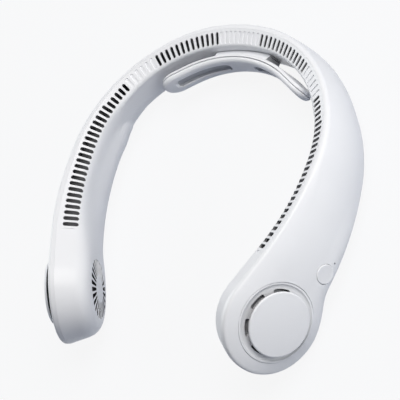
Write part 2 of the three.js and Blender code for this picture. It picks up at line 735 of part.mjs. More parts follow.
// Stator: a ring of wound poles
function statorGeometry(low, high) {
  const core = solid(ring(TUBE_OUTER + FIT / 2, TUBE_OUTER + TUBE_WALL, low, high, SMALL_ROUND));
  let body = core;
  for (let k = 0; k < STATOR_POLES; k++) {
    const angle = (k * 2 * Math.PI) / STATOR_POLES;
    const half = POLE_WIDTH / 2;
    const pole = box([TUBE_OUTER + TUBE_WALL / 2, -half, low], [STATOR_RADIUS - SHOE_THICK / 2, half, high]);
    const shoe = arcSector(STATOR_RADIUS - SHOE_THICK, STATOR_RADIUS, SHOE_ARC, low, high);
    body = body.add(solid(pole.rotateZ(angle))).add(solid(shoe.rotateZ(angle)));
  }
  return body;
}

// A block between two radii over an angle about +X.
function arcSector(inner, outer, arc, low, high) {
  const shape = new THREE.Shape();
  shape.absarc(0, 0, outer, -arc / 2, arc / 2, false);
  shape.absarc(0, 0, inner, arc / 2, -arc / 2, true);
  const depth = high - low;
  const geometry = new THREE.ExtrudeGeometry(shape, { depth, bevelEnabled: false, curveSegments: 1 });
  return geometry.translate(0, 0, low);
}

// A pan-head screw with its head below z = 0 and its shank above.
function screwGeometry(length) {
  const profile = [[0, -SCREW_HEAD], [SCREW_HEAD_RADIUS, -SCREW_HEAD], [SCREW_HEAD_RADIUS, 0]];
  profile.push([SCREW_RADIUS, 0], [SCREW_RADIUS, length], [0, length]);
  return turned(profile, SMALL_ROUND / 2);
}

// Rotor: shaft, magnet ring and impeller, which spin together
function rotor(group, name) {
  const seat = DISH_FLOOR - DISH_THICK - FIT;
  const low = seat - MOTOR_PLATE_THICK;
  const hubInner = STATOR_RADIUS + HUB_CLEARANCE + MAGNET_THICK + FIT / 2;
  const hubOuter = hubInner + HUB_WALL;
  const hubFloor = seat - TUBE_LENGTH - HUB_CLEARANCE;
  const hubEnd = hubFloor - HUB_WALL;
  const hubTop = low - SCREW_HEAD - HUB_CLEARANCE;
  const bore = SHAFT_RADIUS + FIT / 2;
  addMesh(group, name + "_motor_shaft", ring(0, SHAFT_RADIUS, hubEnd, seat, SMALL_ROUND), steel);
  const magnetOuter = hubInner - FIT / 2;
  const magnet = ring(magnetOuter - MAGNET_THICK, magnetOuter, hubFloor + FIT, hubTop, SMALL_ROUND);
  addMesh(group, name + "_rotor_magnet", magnet, dark);
  const cup = [[bore, hubEnd], [hubOuter, hubEnd], [hubOuter, hubTop], [hubInner, hubTop]];
  cup.push([hubInner, hubFloor]);
  cup.push([bore, hubFloor]);
  const discTop = IMPELLER_DISC + HUB_WALL;
  const disc = ring(hubOuter - HUB_WALL / 2, IMPELLER_RADIUS, IMPELLER_DISC, discTop, ROUND);
  let body = solid(turned(cup, SMALL_ROUND)).add(solid(disc));
  for (let k = 0; k < BLADES; k++) {
    body = body.add(solid(bladeGeometry().rotateZ((k * 2 * Math.PI) / BLADES)));
  }
  addMesh(group, name + "_impeller", body, pale);
}

// One backward-swept blade between the eye and the rim of the impeller.
function bladeGeometry() {
  const steps = 2;
  const edge = (offset) =>
    Array.from({ length: steps + 1 }, (_, i) => {
      const t = i / steps;
      const r = mix(IMPELLER_EYE, IMPELLER_RADIUS, t);
      const angle = -BLADE_SWEEP * t + offset / r;
      return [r * Math.cos(angle), r * Math.sin(angle)];
    });
  const outline = [...edge(-BLADE_THICK / 2), ...edge(BLADE_THICK / 2).reverse()];
  const shape = new THREE.Shape(outline.map(([x, y]) => new THREE.Vector2(x, y)));
  const depth = IMPELLER_TOP - IMPELLER_END;
  return new THREE.ExtrudeGeometry(shape, { depth, bevelEnabled: false }).translate(0, 0, IMPELLER_END);
}

// Power button, its switch, board and charging port, on a pose of their own
function controls() {
  const group = new THREE.Group();
  group.applyMatrix4(buttonPose());
  band.add(group);
  const under = BUTTON_PROUD - BUTTON_THICK;
  const switchTop = boardTop + SWITCH_HEIGHT;
  const plungerLow = switchTop - SWITCH_HEIGHT / 2;
  const stemEnd = switchTop + 2 * FIT;
  const edge = BUTTON_RADIUS - BUTTON_PROUD;
  const profile = [[0, stemEnd], [BUTTON_STEM_RADIUS, stemEnd], [BUTTON_STEM_RADIUS, under]];
  profile.push([BUTTON_RADIUS, under]);
  profile.push([BUTTON_RADIUS, 0], [edge, BUTTON_PROUD], [0, BUTTON_PROUD]);
  addMesh(group, "power_button", turned(profile, SMALL_ROUND), white);
  const pin = BUTTON_STEM_RADIUS - FIT;
  addMesh(group, "switch_plunger", ring(0, pin, plungerLow, stemEnd - FIT / 2, SMALL_ROUND / 2), dark);
  const half = SWITCH_SIZE / 2;
  const well = ring(0, pin + FIT, plungerLow - BUTTON_TRAVEL - FIT, switchTop + WALL, SMALL_ROUND / 2);
  const housing = solid(box([-half, -half, boardTop + FIT / 2], [half, half, switchTop]));
  addMesh(group, "tact_switch", housing.subtract(solid(well)), dark);
  const boardEnd = BOARD_LENGTH / 2;
  const board = box([-boardEnd, -BOARD_BELOW, boardTop - BOARD_THICK], [boardEnd, BOARD_ABOVE, boardTop]);
  addMesh(group, "main_circuit_board", board, green);
  const pipe = ring(0, LIGHT_RADIUS, boardTop + FIT, -LIGHT_RECESS, SMALL_ROUND / 2);
  addMesh(group, "indicator_light_pipe", pipe.translate(LIGHT_AHEAD, -LIGHT_BELOW, 0), glow);
  const shell = solid(portBlock(0, 0));
  const mouth = solid(portBlock(-PORT_WALL, PORT_LENGTH / 2));
  addMesh(group, "usb_c_port", shell.subtract(mouth), steel);
}

// A run of stations between two ends.
function stationsBetween(from, to, steps) {
  return Array.from({ length: steps + 1 }, (_, i) => mix(from, to, i / steps));
}

// Battery cells under the air ducts, the partitions between them, and the wiring round the back
function arms() {
  for (const [side, name] of [[1, "left"], [-1, "right"]]) {
    const stations = stationsBetween(side * PARTITION_START, side * PARTITION_END, 14);
    const partition = bandRun(stations, (u) => {
      const near = outerAt(u) - WALL - PARTITION_GAP;
      const far = -(innerAt(u) - WALL - PARTITION_GAP);
      const low = -PARTITION_DOWN - PARTITION_THICK;
      return [[near, low], [near, -PARTITION_DOWN], [far, -PARTITION_DOWN], [far, low]];
    });
    addMesh(band, name + "_duct_partition", solid(partition), dark);
    const { out, up } = frameAt(side * CELL_STATION);
    const pose = new THREE.Matrix4().makeBasis(up.clone().cross(out), up, out);
    const cell = new THREE.Group();
    const top = PARTITION_DOWN + PARTITION_THICK + FIT;
    cell.applyMatrix4(pose.setPosition(place(side * CELL_STATION, -CELL_INWARD, -top - CELL_HEIGHT / 2)));
    band.add(cell);
    addMesh(cell, name + "_battery_cell", cellGeometry(), foil);
  }
  const stations = stationsBetween(-LOOM_RIGHT_END, LOOM_LEFT_END, 40);
  const loom = bandRun(stations, (u) => {
    const middle = -heightAt(u) + WALL + LOOM_RADIUS + 2 * FIT;
    return Array.from({ length: LOOM_SIDES }, (_, k) => {
      const angle = (k * 2 * Math.PI) / LOOM_SIDES;
      const inward = -LOOM_RADIUS - SEAM_GAP;
      return [inward + LOOM_RADIUS * Math.cos(angle), middle + LOOM_RADIUS * Math.sin(angle)];
    });
  });
  addMesh(band, "wiring_loom", solid(loom), dark);
}

// A pouch cell: a block with rounded long edges.
function cellGeometry() {
  const r = CELL_THICK / 4;
  const [x, y] = [CELL_THICK / 2, CELL_HEIGHT / 2];
  const shape = new THREE.Shape();
  shape.absarc(x - r, y - r, r, 0, Math.PI / 2, false);
  shape.absarc(r - x, y - r, r, Math.PI / 2, Math.PI, false);
  shape.absarc(r - x, r - y, r, Math.PI, 1.5 * Math.PI, false);
  shape.absarc(x - r, r - y, r, 1.5 * Math.PI, 2 * Math.PI, false);
  const depth = CELL_LENGTH;
  const geometry = new THREE.ExtrudeGeometry(shape, { depth, bevelEnabled: false, curveSegments: 3 });
  return geometry.translate(0, 0, -CELL_LENGTH / 2).rotateY(Math.PI / 2);
}

// Neck pad: a point by length along its arc and straight tails, depth in front of the plate, and height.
// The pad leans as the back does.
const padCentreY = -PAD_FORWARD - PAD_RADIUS;
function padPoint(along, depth, z) {
  const turn = Math.min(Math.abs(along), PAD_ARC) / PAD_RADIUS;
  const tail = Math.max(Math.abs(along) - PAD_ARC, 0);
  const reach = PAD_RADIUS - depth + Math.tan(LEAN_BACK) * (PAD_TOP - z);
  const x = reach * Math.sin(turn) + tail * Math.cos(turn);
  const y = reach * Math.cos(turn) - tail * Math.sin(turn);
  return new THREE.Vector3(Math.sign(along) * x, padCentreY + y, z);
}

// Places along a bar with round ends, close together at the ends, and the bar's half height at each.
function padColumns(from, to, half, steps) {
  const ends = PAD_END_STEPS.map((t) => t * half);
  const between = stationsBetween(from + half, to - half, steps).slice(1, -1);
  const places = [...ends.map((a) => from + a), ...between, ...ends.map((a) => to - a).reverse()];
  return places.map((at) => {
    const past = Math.max(from + half - at, at - (to - half), 0) / half;
    return { at, past, tall: half * Math.sqrt(Math.max(1 - past * past, LEAST_END)) };
  });
}

// A bar on the pad's arc with round ends, between two depths.
function padBar(from, to, low, high, nearDepth, farDepth, steps) {
  const middle = (low + high) / 2;
  return loft(
    padColumns(from, to, (high - low) / 2, steps).map(({ at, tall }) => [
      padPoint(at, nearDepth, middle - tall),
      padPoint(at, farDepth, middle - tall),
      padPoint(at, farDepth, middle + tall),
      padPoint(at, nearDepth, middle + tall),
    ]),
  );
}

// The cushion's bar, with a crowned front and rounded edges
function cushionBar(near, steps) {
  const half = PAD_HEIGHT / 2;
  const middle = PAD_TOP - half;
  const edge = CUSHION_THICK - CUSHION_CROWN;
  return loft(
    padColumns(-PAD_HALF, PAD_HALF, half, steps).map(({ at, past, tall }) => {
      const front = CUSHION_ACROSS.map((t) => {
        const crown = CUSHION_CROWN * (1 - t * t) * (1 - past * past);
        const depth = Math.abs(t) === 1 ? near + edge / 2 : near + edge + crown;
        return padPoint(at, depth, middle + tall * t);
      });
      return [padPoint(at, near, middle + tall), padPoint(at, near, middle - tall), ...front];
    }),
  );
}

// A pose at one of the bracket's screws: Z from the pad towards the band, square to the leaning plate.
function bracketScrewPose(x) {
  const turn = x / PAD_RADIUS;
  const across = new THREE.Vector3(Math.cos(turn), -Math.sin(turn), 0);
  const outward = new THREE.Vector3(Math.sin(turn), Math.cos(turn), 0).multiplyScalar(Math.cos(LEAN_BACK));
  outward.z = Math.sin(LEAN_BACK);
  const pose = new THREE.Matrix4().makeBasis(across, outward.clone().cross(across), outward);
  return pose.setPosition(padPoint(x, 0, PAD_TOP - PAD_HEIGHT / 2));
}

// A hole for a bracket screw, right through
function bracketHole() {
  return ring(0, SCREW_RADIUS + FIT, -REACH / 4, REACH / 4, SMALL_ROUND / 2);
}

// Bracket: a hollow block from the plate to the band, its top sloping up to the plate's, open at both ends
function bracketBlock(wall) {
  const run = BRACKET_HALF + (wall > 0 ? WALL : 0);
  const far = 4 * PLATE_THICK;
  const rise = (BRACKET_TOP - BRACKET_RISE) / far;
  return solid(
    bandRun(stationsBetween(-run, run, BRACKET_STEPS), (u) => {
      const near = -innerAt(u) - FIT - wall;
      const end = -innerAt(u) - (wall > 0 ? PAD_FORWARD - PLATE_THICK - INNER_BACK - 2 * wall : far);
      const top = (w) => -BRACKET_TOP - wall + rise * (near - w);
      const low = -BRACKET_BOTTOM + wall;
      return [[near, top(near)], [end, top(end)], [end, low], [near, low]];
    }),
  );
}

function neckPad() {
  const bottom = PAD_TOP - PAD_HEIGHT;
  const middle = (PAD_TOP + bottom) / 2;
  const screws = [-BRACKET_SCREW_AT, BRACKET_SCREW_AT].map(bracketScrewPose);
  const holes = screws.map((pose) => moved(bracketHole(), pose));
  const plateBack = -PLATE_THICK;
  const plate = solid(padBar(-PAD_HALF, PAD_HALF, bottom, PAD_TOP, plateBack, 0, PAD_STEPS));
  const headRoom = ring(0, SCREW_HEAD_RADIUS + FIT, -REACH / 4, SCREW_HEAD + FIT, SMALL_ROUND / 2);
  const counterbores = screws.map((pose) => moved(headRoom, pose));
  addMesh(band, "neck_pad_plate", cutAll(plate, [...holes, ...counterbores]), white);
  const cushion = solid(cushionBar(FIT, PAD_STEPS));
  const floor = FIT + CUSHION_THICK - RECESS_DEPTH;
  const recesses = [[-RECESS_TO, -RECESS_FROM], [RECESS_FROM, RECESS_TO]].map(([from, to]) => {
    const half = RECESS_HEIGHT / 2;
    const outside = FIT + 2 * CUSHION_THICK;
    return solid(padBar(from, to, middle - half, middle + half, floor, outside, RECESS_STEPS));
  });
  addMesh(band, "neck_pad_cushion", cutAll(cushion, recesses), soft);
  const above = PAD_TOP + REACH / 4;
  const padRoom = padBar(-PAD_HALF, PAD_HALF, bottom - WALL, above, plateBack - FIT, REACH / 4, PAD_STEPS);
  const hollow = [solid(padRoom), bracketBlock(BRACKET_WALL), ...holes];
  addMesh(band, "neck_pad_bracket", cutAll(bracketBlock(0), hollow), white);
  screws.forEach((pose, i) => {
    const group = new THREE.Group();
    group.applyMatrix4(pose);
    band.add(group);
    const screw = screwGeometry(BRACKET_SCREW_LENGTH).translate(0, 0, SCREW_HEAD + FIT / 2);
    addMesh(group, "bracket_screw_" + (i + 1), screw, steel);
  });
}

outerShell();
innerShell();
for (const [side, name] of [[1, "left"], [-1, "right"]]) {
  const group = new THREE.Group();
  group.name = name + "_bulb";
  group.applyMatrix4(bulbPose(side));
  band.add(group);
  intakeDish(group, name, side);
  intakeCap(group, name);
  motor(group, name);
  rotor(group, name);
}
controls();
arms();
neckPad();

export default fan;
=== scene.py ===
import json
import math

import bpy
import numpy as np
from mathutils import Matrix, Vector


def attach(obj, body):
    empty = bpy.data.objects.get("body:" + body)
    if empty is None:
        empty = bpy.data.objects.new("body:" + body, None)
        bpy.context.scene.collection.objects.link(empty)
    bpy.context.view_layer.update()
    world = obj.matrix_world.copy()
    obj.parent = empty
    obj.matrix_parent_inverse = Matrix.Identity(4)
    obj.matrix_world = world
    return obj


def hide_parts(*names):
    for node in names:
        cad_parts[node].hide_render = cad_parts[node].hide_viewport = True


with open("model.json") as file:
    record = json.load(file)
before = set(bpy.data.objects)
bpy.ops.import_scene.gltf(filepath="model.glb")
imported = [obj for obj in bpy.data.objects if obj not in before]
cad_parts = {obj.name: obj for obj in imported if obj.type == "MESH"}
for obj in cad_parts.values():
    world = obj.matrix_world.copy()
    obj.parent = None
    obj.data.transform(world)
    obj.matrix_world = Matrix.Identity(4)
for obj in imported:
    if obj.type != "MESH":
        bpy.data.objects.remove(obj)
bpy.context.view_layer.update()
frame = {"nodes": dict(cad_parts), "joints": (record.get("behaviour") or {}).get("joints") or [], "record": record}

# Inner shell: the half of the band that faces the neck, one injection moulding in white satin plastic.
# Its top strip carries the air slots, its lower half swells over the batteries, and each bulb's inner face is
# pierced by a radial grille. It clips into the outer shell along the seam.
MM = 0.001
BACK_RADIUS = 97.0
BACK_ANGLE = math.radians(9.7)
SHOULDER_RADIUS = 78.0
SHOULDER_ANGLE = math.radians(81)
ARM_RADIUS = 162.0
END_ANGLE = math.radians(112)
ARM_ANGLE = END_ANGLE - BACK_ANGLE - SHOULDER_ANGLE
LEAN_BACK = math.radians(9.5)
LEAN_BULB = math.radians(18.5)
BULB_STATION = 209.5
BULB_RADIUS = 30.6
BULB_FOOT = 29.0
BULB_END = 1.015
SHOULDER_START = 20.0
SHOULDER_STATION = 84.0
ARM_START = 60.0
ARM_FULL = 170.0
BULB_BLEND = 150.0
BULB_TURN = 188.0
HEIGHT_BACK = 30.4
HEIGHT_TAPER = 0.17
HEIGHT_SOFTNESS = 5.0
WAIST_FADE = (186.0, 204.0)
# Sizes in threes are those at the back, on the arm and at the bulb.
OUTER_DEPTHS = (3.5, 5.5, 7.2)
INNER_DEPTHS = (9.6, 13.2, 16.9)
STRIP_DROPS = (3.0, 3.7, 5.0)
STRIP_ROUNDS = (2.0, 6.0, 8.0)
RIM_RISES = (1.0, 1.0, 5.0)
RIM_SHARE = 0.85
LOW_ROUND_BACK = 5.0
LOW_ROUND_ARM = 14.0
LOW_ROUND_BULB = 8.0
LOW_ROUND_FADE = (130.0, 195.0)
LAND_HEIGHT = 2.8
LAND_NOSE = 106.5
LAND_NOSE_LENGTH = 8.0
LAND_TOP = -16.5
LAND_EDGE = (0.84, 1.12)
LAND_STEP = (0.7, 0.78)
LAND_SLOPE = (0.1, 1.5)
LAND_EDGE_SHARE = 0.75
LAND_NOSE_SHARE = 0.45
LAND_FADE = (LAND_NOSE - 6, LAND_NOSE + 5)
BROW_BACK = 2.0
BROW_NOSE = 15.0
BROW_ARM = 20.0
BROW_BULB = 8.0
BROW_RISE = (LAND_NOSE - 18, LAND_NOSE + 6)
BULB_DOME = 0.9
DOME_RADIUS = 22.0
SWELL_FADE = (0.1, 0.9)
WALL = 1.2
GRILLE_RADIUS = 17.3
GRILLE_WALL = 0.25
RELIEF_EDGE = (GRILLE_RADIUS + 0.5, GRILLE_RADIUS + 2.5)
STRIP_WALL = 0.7
SEAM_GAP = 0.05
SEAM_OUT = 1.6
UPPER_SEAM_FADE = (140.0, 190.0)
STATIONS = 281
TURNS = 36
STRIP_STEPS = 14
ROUND_STEPS = 13
FACE_STEPS = 35


def ease(x, low, high):
    """Smooth step: 0 before low, 1 after high, 3t^2 - 2t^3 between."""
    t = np.clip((x - low) / (high - low), 0, 1)
    return t * t * (3 - 2 * t)


def mix(a, b, t):
    """From a at t = 0 to b at t = 1."""
    return a + (b - a) * t


def along(u, back, arm, bulb):
    """A size that goes from its value at the back to the arm's, and from there to the bulb's."""
    s = np.abs(u)
    return mix(mix(back, arm, ease(s, ARM_START, ARM_FULL)), bulb, ease(s, BULB_BLEND, BULB_STATION))


def seam_frame(u):
    """Seam point, outward and upward direction at station u: in plan three arcs end to end, then a straight;
    the section leans outwards by an angle that grows from the back to the bulb."""
    u = np.asarray(u, float)
    left = np.abs(u)
    side = np.where(u < 0, -1.0, 1.0)
    x = np.zeros_like(left)
    y = np.zeros_like(left)
    heading = np.zeros_like(left)
    arcs = ((BACK_RADIUS, BACK_ANGLE), (SHOULDER_RADIUS, SHOULDER_ANGLE), (ARM_RADIUS, ARM_ANGLE))
    for radius, angle in arcs:
        turn = np.minimum(left / radius, angle)
        x = x + radius * (np.sin(heading + turn) - np.sin(heading))
        y = y + radius * (np.cos(heading + turn) - np.cos(heading))
        heading = heading + turn
        left = left - radius * turn
    x = side * (x + left * np.cos(heading))
    y = y - left * np.sin(heading)
    lean = mix(LEAN_BACK, LEAN_BULB, ease(np.abs(u), ARM_START, ARM_FULL))
    out_x, out_y = side * np.sin(heading), np.cos(heading)
    point = np.stack([x, y, np.zeros_like(x)], -1)
    out = np.stack([out_x * np.cos(lean), out_y * np.cos(lean), np.sin(lean)], -1)
    up = np.stack([-out_x * np.sin(lean), -out_y * np.sin(lean), np.cos(lean)], -1)
    return point, out, up


# The band is tipped back to rest on its back edge and its bulbs: the tilt and the shift come from the left
# fan's axis.
fan_axis = {joint["name"]: joint for joint in frame["joints"]}["left_rotor_spin"]
hub_point, hub_out, hub_up = seam_frame(BULB_STATION)
tilt = math.atan2(hub_out[2], hub_out[1]) - math.atan2(fan_axis["axis"][2], fan_axis["axis"][1])
TURN = np.array(Matrix.Rotation(-tilt, 3, "X"))
SHIFT = np.array(fan_axis["pos_m"]) / MM - TURN @ (hub_point - BULB_RADIUS * hub_up)


def to_row(points):
    """Band coordinates in millimetres to the row frame in metres."""
    return (points @ TURN.T + SHIFT) * MM


def place(u, w, v):
    """Row-frame point at station u along the seam, w outward from it and v up from it, in millimetres."""
    u, w, v = np.broadcast_arrays(np.asarray(u, float), w, v)
    point, out, up = seam_frame(u)
    return to_row(point + w[..., None] * out + v[..., None] * up)


def height(u):
    """Band height: a taper and the bulb's round foot, joined by the smooth greater of the two."""
    s = np.abs(u)
    taper = HEIGHT_BACK + HEIGHT_TAPER * np.maximum(s - SHOULDER_STATION, 0)
    across = (BULB_STATION - s) / BULB_RADIUS
    circle = BULB_RADIUS + BULB_FOOT * (np.sqrt(np.maximum(1 - across**2, 0)) - np.maximum(across - 1, 0))
    softness = HEIGHT_SOFTNESS * (1 - ease(s, *WAIST_FADE))
    return (taper + circle + np.hypot(taper - circle, softness)) / 2


def outer_depth(u):
    """How far the outer face stands out from the seam."""
    return along(u, *OUTER_DEPTHS)


def inner_depth(u):
    """How far the inner face stands in from the seam."""
    return along(u, *INNER_DEPTHS)


def strip_drop(u):
    """How far the strip falls from the seam to its inner edge."""
    return along(u, *STRIP_DROPS)


def bezier(p, q, r, t):
    """Quadratic Bezier curve from p to r, drawn towards q."""
    return p * (1 - t) ** 2 + 2 * q * t * (1 - t) + r * t**2


def battery_land(u, v):
    """Swelling over the battery: a rounded nose towards the back, in two low steps, that fade into a soft
    slope along the arm."""
    s = np.abs(u)
    middle = (LAND_TOP - height(s)) / 2
    over = np.maximum(v - middle, 0) / (LAND_TOP - middle)
    past = np.maximum(LAND_NOSE - s, 0) / LAND_NOSE_LENGTH
    q = np.hypot(over, past)
    steps = LAND_EDGE_SHARE * (1 - ease(q, *LAND_EDGE)) + (1 - LAND_EDGE_SHARE) * (1 - ease(q, *LAND_STEP))
    slope = 1 - ease(q, *LAND_SLOPE)
    form = mix(LAND_NOSE_SHARE * steps, slope, ease(s, *LAND_FADE))
    return LAND_HEIGHT * form * (1 - ease(s, BULB_BLEND, BULB_STATION))


def low_round_at(u):
    """Rounding at the foot of the inner face, which grows over the shoulder and falls again to the bulb."""
    s = np.abs(u)
    arm = mix(LOW_ROUND_BACK, LOW_ROUND_ARM, ease(s, SHOULDER_START, SHOULDER_STATION))
    return mix(arm, LOW_ROUND_BULB, ease(s, *LOW_ROUND_FADE))


def brow_round_at(u):
    """Rounding at the head of the inner face: small round the back, broad from the land's nose on, less at
    the bulb."""
    s = np.abs(u)
    nose = mix(BROW_BACK, BROW_NOSE, ease(s, *BROW_RISE))
    arm = nose + (BROW_ARM - BROW_NOSE) * ease(s, BROW_RISE[1], BULB_BLEND)
    return mix(arm, BROW_BULB, ease(s, BULB_BLEND, BULB_STATION))


def from_axis(u, v):
    """Distance from the fan's axis."""
    return np.hypot(np.abs(u) - BULB_STATION, v + BULB_RADIUS)


def bulb_dome(u, v):
    """Low dome on the bulb's inner face: a squared cosine of the distance from the fan's axis."""
    return BULB_DOME * np.cos(math.pi / 2 * np.minimum(from_axis(u, v) / DOME_RADIUS, 1)) ** 2


def grille_relief(u, v):
    """How much the lining stands nearer the surface behind the grille, where the wall is thin."""
    return (WALL - GRILLE_WALL) * (1 - ease(from_axis(u, v), *RELIEF_EDGE))


def seam_places(u, shift):
    """Where the upper and the lower seam stand: both move outwards to the bulb, the lower one later."""
    s = np.abs(u)
    upper = SEAM_OUT * ease(s, *UPPER_SEAM_FADE) + shift
    lower = SEAM_OUT * ease(s, BULB_TURN, BULB_STATION) + shift
    return upper, lower


def inner_rows(stations, inset):
    """Section from the upper seam along the strip, round its edge, down the inner face and along the lower
    rim to the lower seam: straights joined by Bezier roundings, with the battery land and the dome added to
    the depth."""
    u = stations[:, None]
    depth = inner_depth(u) - inset
    low = inset - height(u)
    gap, low_gap = seam_places(u, -SEAM_GAP / 2)
    roof = mix(min(inset, STRIP_WALL), inset, ease(np.abs(u), BULB_TURN, BULB_STATION))
    drop = strip_drop(u)
    slope = np.hypot(depth, drop)
    strip_round = along(u, *STRIP_ROUNDS)
    edge_w = strip_round * depth / slope - depth
    edge_v = -roof - drop + strip_round * drop / slope
    rise = along(u, *RIM_RISES)
    rim = np.hypot(depth, rise)
    low_round = low_round_at(u)
    rim_curve = np.minimum(low_round, RIM_SHARE * depth)
    rim_w = rim_curve * depth / rim - depth
    rim_v = low + rise - rim_curve * rise / rim
    face_top = -roof - drop - brow_round_at(u)
    face_low = low + rise + low_round
    straight = np.linspace(0, 1, STRIP_STEPS)
    face = np.linspace(0, 1, FACE_STEPS)[1:-1]
    curve = np.linspace(0, 1, ROUND_STEPS)[1:]
    low_curve = curve - curve[0]
    w = [mix(gap, edge_w, straight), bezier(edge_w, -depth, -depth, curve), -depth + 0 * face]
    w += [bezier(-depth, -depth, rim_w, low_curve), mix(rim_w, low_gap, straight)]
    v = [mix(-roof, edge_v, straight), bezier(edge_v, -roof - drop, face_top, curve)]
    v += [mix(face_top, face_low, face)]
    v += [bezier(face_low, low + rise, rim_v, low_curve), mix(rim_v, low, straight)]
    w, v = np.concatenate(w, 1), np.concatenate(v, 1)
    swell = bulb_dome(u, v) + (battery_land(u, v) if inset == 0 else grille_relief(u, v))
    return w - swell * ease(-w / depth, *SWELL_FADE), v


def quads(grid):
    """Faces of a grid of vertex numbers."""
    return np.stack([grid[:-1, :-1], grid[1:, :-1], grid[1:, 1:], grid[:-1, 1:]], -1).reshape(-1, 4)


SHARP_ANGLE = math.radians(32)


def smooth(mesh):
    """Smooth shading, with edges sharper than the angle kept."""
    mesh.polygons.foreach_set("use_smooth", np.ones(len(mesh.polygons), bool))
    mesh.set_sharp_from_angle(angle=SHARP_ANGLE)


def make_piece(name, points, faces, material_index):
    """A mesh object from points and lists of faces, turned to face outwards, smooth but for sharp edges."""
    faces = [face for block in faces for face in np.asarray(block).tolist()]
    mesh = bpy.data.meshes.new(name)
    mesh.from_pydata(points.tolist(), [], faces)
    mesh.polygons.foreach_set("material_index", material_index)
    mesh.validate()
    mesh.calc_loop_triangles()
    corner = np.zeros(len(mesh.loop_triangles) * 3, np.int32)
    mesh.loop_triangles.foreach_get("vertices", corner)
    a, b, c = points[corner.reshape(-1, 3)].transpose(1, 0, 2)
    if np.einsum("ij,ij->", a, np.cross(b, c)) < 0:
        mesh.flip_normals()
    piece = bpy.data.objects.new(name, mesh)
    bpy.context.scene.collection.objects.link(piece)
    smooth(mesh)
    return piece


def band_shell(name, rows):
    """A wall of the band: the rows' section carried from bulb to bulb and turned half round each bulb's axis,
    once at the surface and once inset by the wall, joined along the seam and flat where it rests."""
    stations = np.linspace(-BULB_STATION, BULB_STATION, STATIONS)
    theta = np.linspace(0, math.pi, TURNS + 1)[1:-1, None]
    to_foot = ease(theta, math.pi / 2, math.pi)
    points, faces, seams, inside = [], [], [], []
    count = 0
    for inset in (0, WALL):
        w, v = rows(stations, inset)
        middle = w.shape[1] // 2
        grid = count + np.arange(w.size).reshape(w.shape)
        points.append(place(stations[:, None], w, v).reshape(-1, 3))
        count += w.size
        skin, ends = [quads(grid)], []
        for side, last in ((-1, 0), (1, -1)):
            centre = v[last, middle]
            reach = mix(v[last, :middle] - centre, centre - v[last, :middle:-1], to_foot)
            turned_u = side * (BULB_STATION + BULB_END * reach * np.sin(theta))
            turned_w = mix(w[last, :middle], w[last, :middle:-1], to_foot)
            end_points = place(turned_u, turned_w, reach * np.cos(theta) + centre)
            end = count + np.arange(turned_u.size).reshape(turned_u.shape)
            points.append(end_points.reshape(-1, 3))
            count += turned_u.size
            end = np.vstack([grid[last, :middle], end, grid[last, :middle:-1]])
            ends.append(end)
            end = end if side > 0 else end[::-1]
            skin.append(quads(end))
            pole = np.full(TURNS, grid[last, middle])
            skin.append(np.stack([end[:-1, -1], end[1:, -1], pole], -1))
        seams.append(np.concatenate([grid[:, 0], ends[1][1:-1, 0], grid[::-1, -1], ends[0][::-1][1:-1, 0]]))
        faces += skin if inset == 0 else [block[:, ::-1] for block in skin]
        # Inside faces take the second material, the grey painted shade.
        inside += [np.full(len(block), int(inset > 0)) for block in skin]
    outer, lining = seams
    faces.append(np.stack([np.roll(outer, -1), outer, lining, np.roll(lining, -1)], -1))
    inside.append(np.zeros(len(outer), int))
    points = np.concatenate(points)
    points[:, 2] = np.maximum(points[:, 2], 0)
    return make_piece(name, points, faces, np.concatenate(inside))


def prisms(name, low, high, material=0):
    """Closed prisms between two sets of outlines, each set count x points x 3."""
    count, size = low.shape[:2]
    first = 2 * size * np.arange(count)[:, None]
    ring = np.arange(size)[None]
    low_ring, high_ring = first + ring, first + size + ring
    sides = np.stack([low_ring, np.roll(low_ring, -1, 1), np.roll(high_ring, -1, 1), high_ring], -1)
    points = np.stack([low, high], 1).reshape(-1, 3)
    faces = [sides.reshape(-1, 4), low_ring[:, ::-1], high_ring]
    return make_piece(name, points, faces, np.full(count * (size + 2), material))


def cut(piece, *cutters):
    """Takes the cutters out of the piece and removes them."""
    for cutter in cutters:
        hole = piece.modifiers.new("opening", "BOOLEAN")
        hole.operation = "DIFFERENCE"
        hole.solver = "MANIFOLD"
        hole.object = cutter
    depsgraph = bpy.context.evaluated_depsgraph_get()
    piece.data = bpy.data.meshes.new_from_object(piece.evaluated_get(depsgraph))
    piece.modifiers.clear()
    for cutter in cutters:
        bpy.data.objects.remove(cutter)
    smooth(piece.data)


SLOT_MARGIN = 1.5
SLOT_DEPTH = 3.5 * WALL
BACK_SLOT_FIRST = 16.3
BACK_SLOT_PITCH = 3.5
BACK_SLOT_COUNT = 13
BACK_SLOT_WIDTH = 2.0
BACK_SLOT_LENGTH = 6.9
ARM_SLOT_FIRST = 84.9
ARM_SLOT_PITCH = 3.51
ARM_PITCH_GROWTH = 0.009
ARM_SLOT_COUNT = 27
ARM_SLOT_WIDTHS = (2.1, 2.6)
ARM_SLOT_LENGTHS = (6.6, 8.8)
SHORT_SLOT_COUNT = 5
SHORT_SLOT_CUT = 1.0
BLIND_AT_SHOULDER = 6
BLIND_AT_BACK = 9
BLIND_AFTER = 3.9
BLIND_DEPTH = 0.5
PILL_STEPS = 9


def slot_pills(name, u, w_near, w_far, width, depth, material):
    """Pills across the strip at stations u: half circles at both ends, from above it down to a depth."""
    u, w_near, w_far, width = (a[:, None] for a in np.broadcast_arrays(u, w_near, w_far, width))
    r = width / 2
    t = np.linspace(0, math.pi, PILL_STEPS)
    w = np.concatenate([w_near - r + r * np.sin(t), w_far + r - r * np.sin(t)], 1)
    stations = u + np.concatenate([r * np.cos(t), -r * np.cos(t)], 1)
    strip = w * strip_drop(u) / inner_depth(u)
    return prisms(name, place(stations, w, strip - depth), place(stations, w, strip + WALL), material)


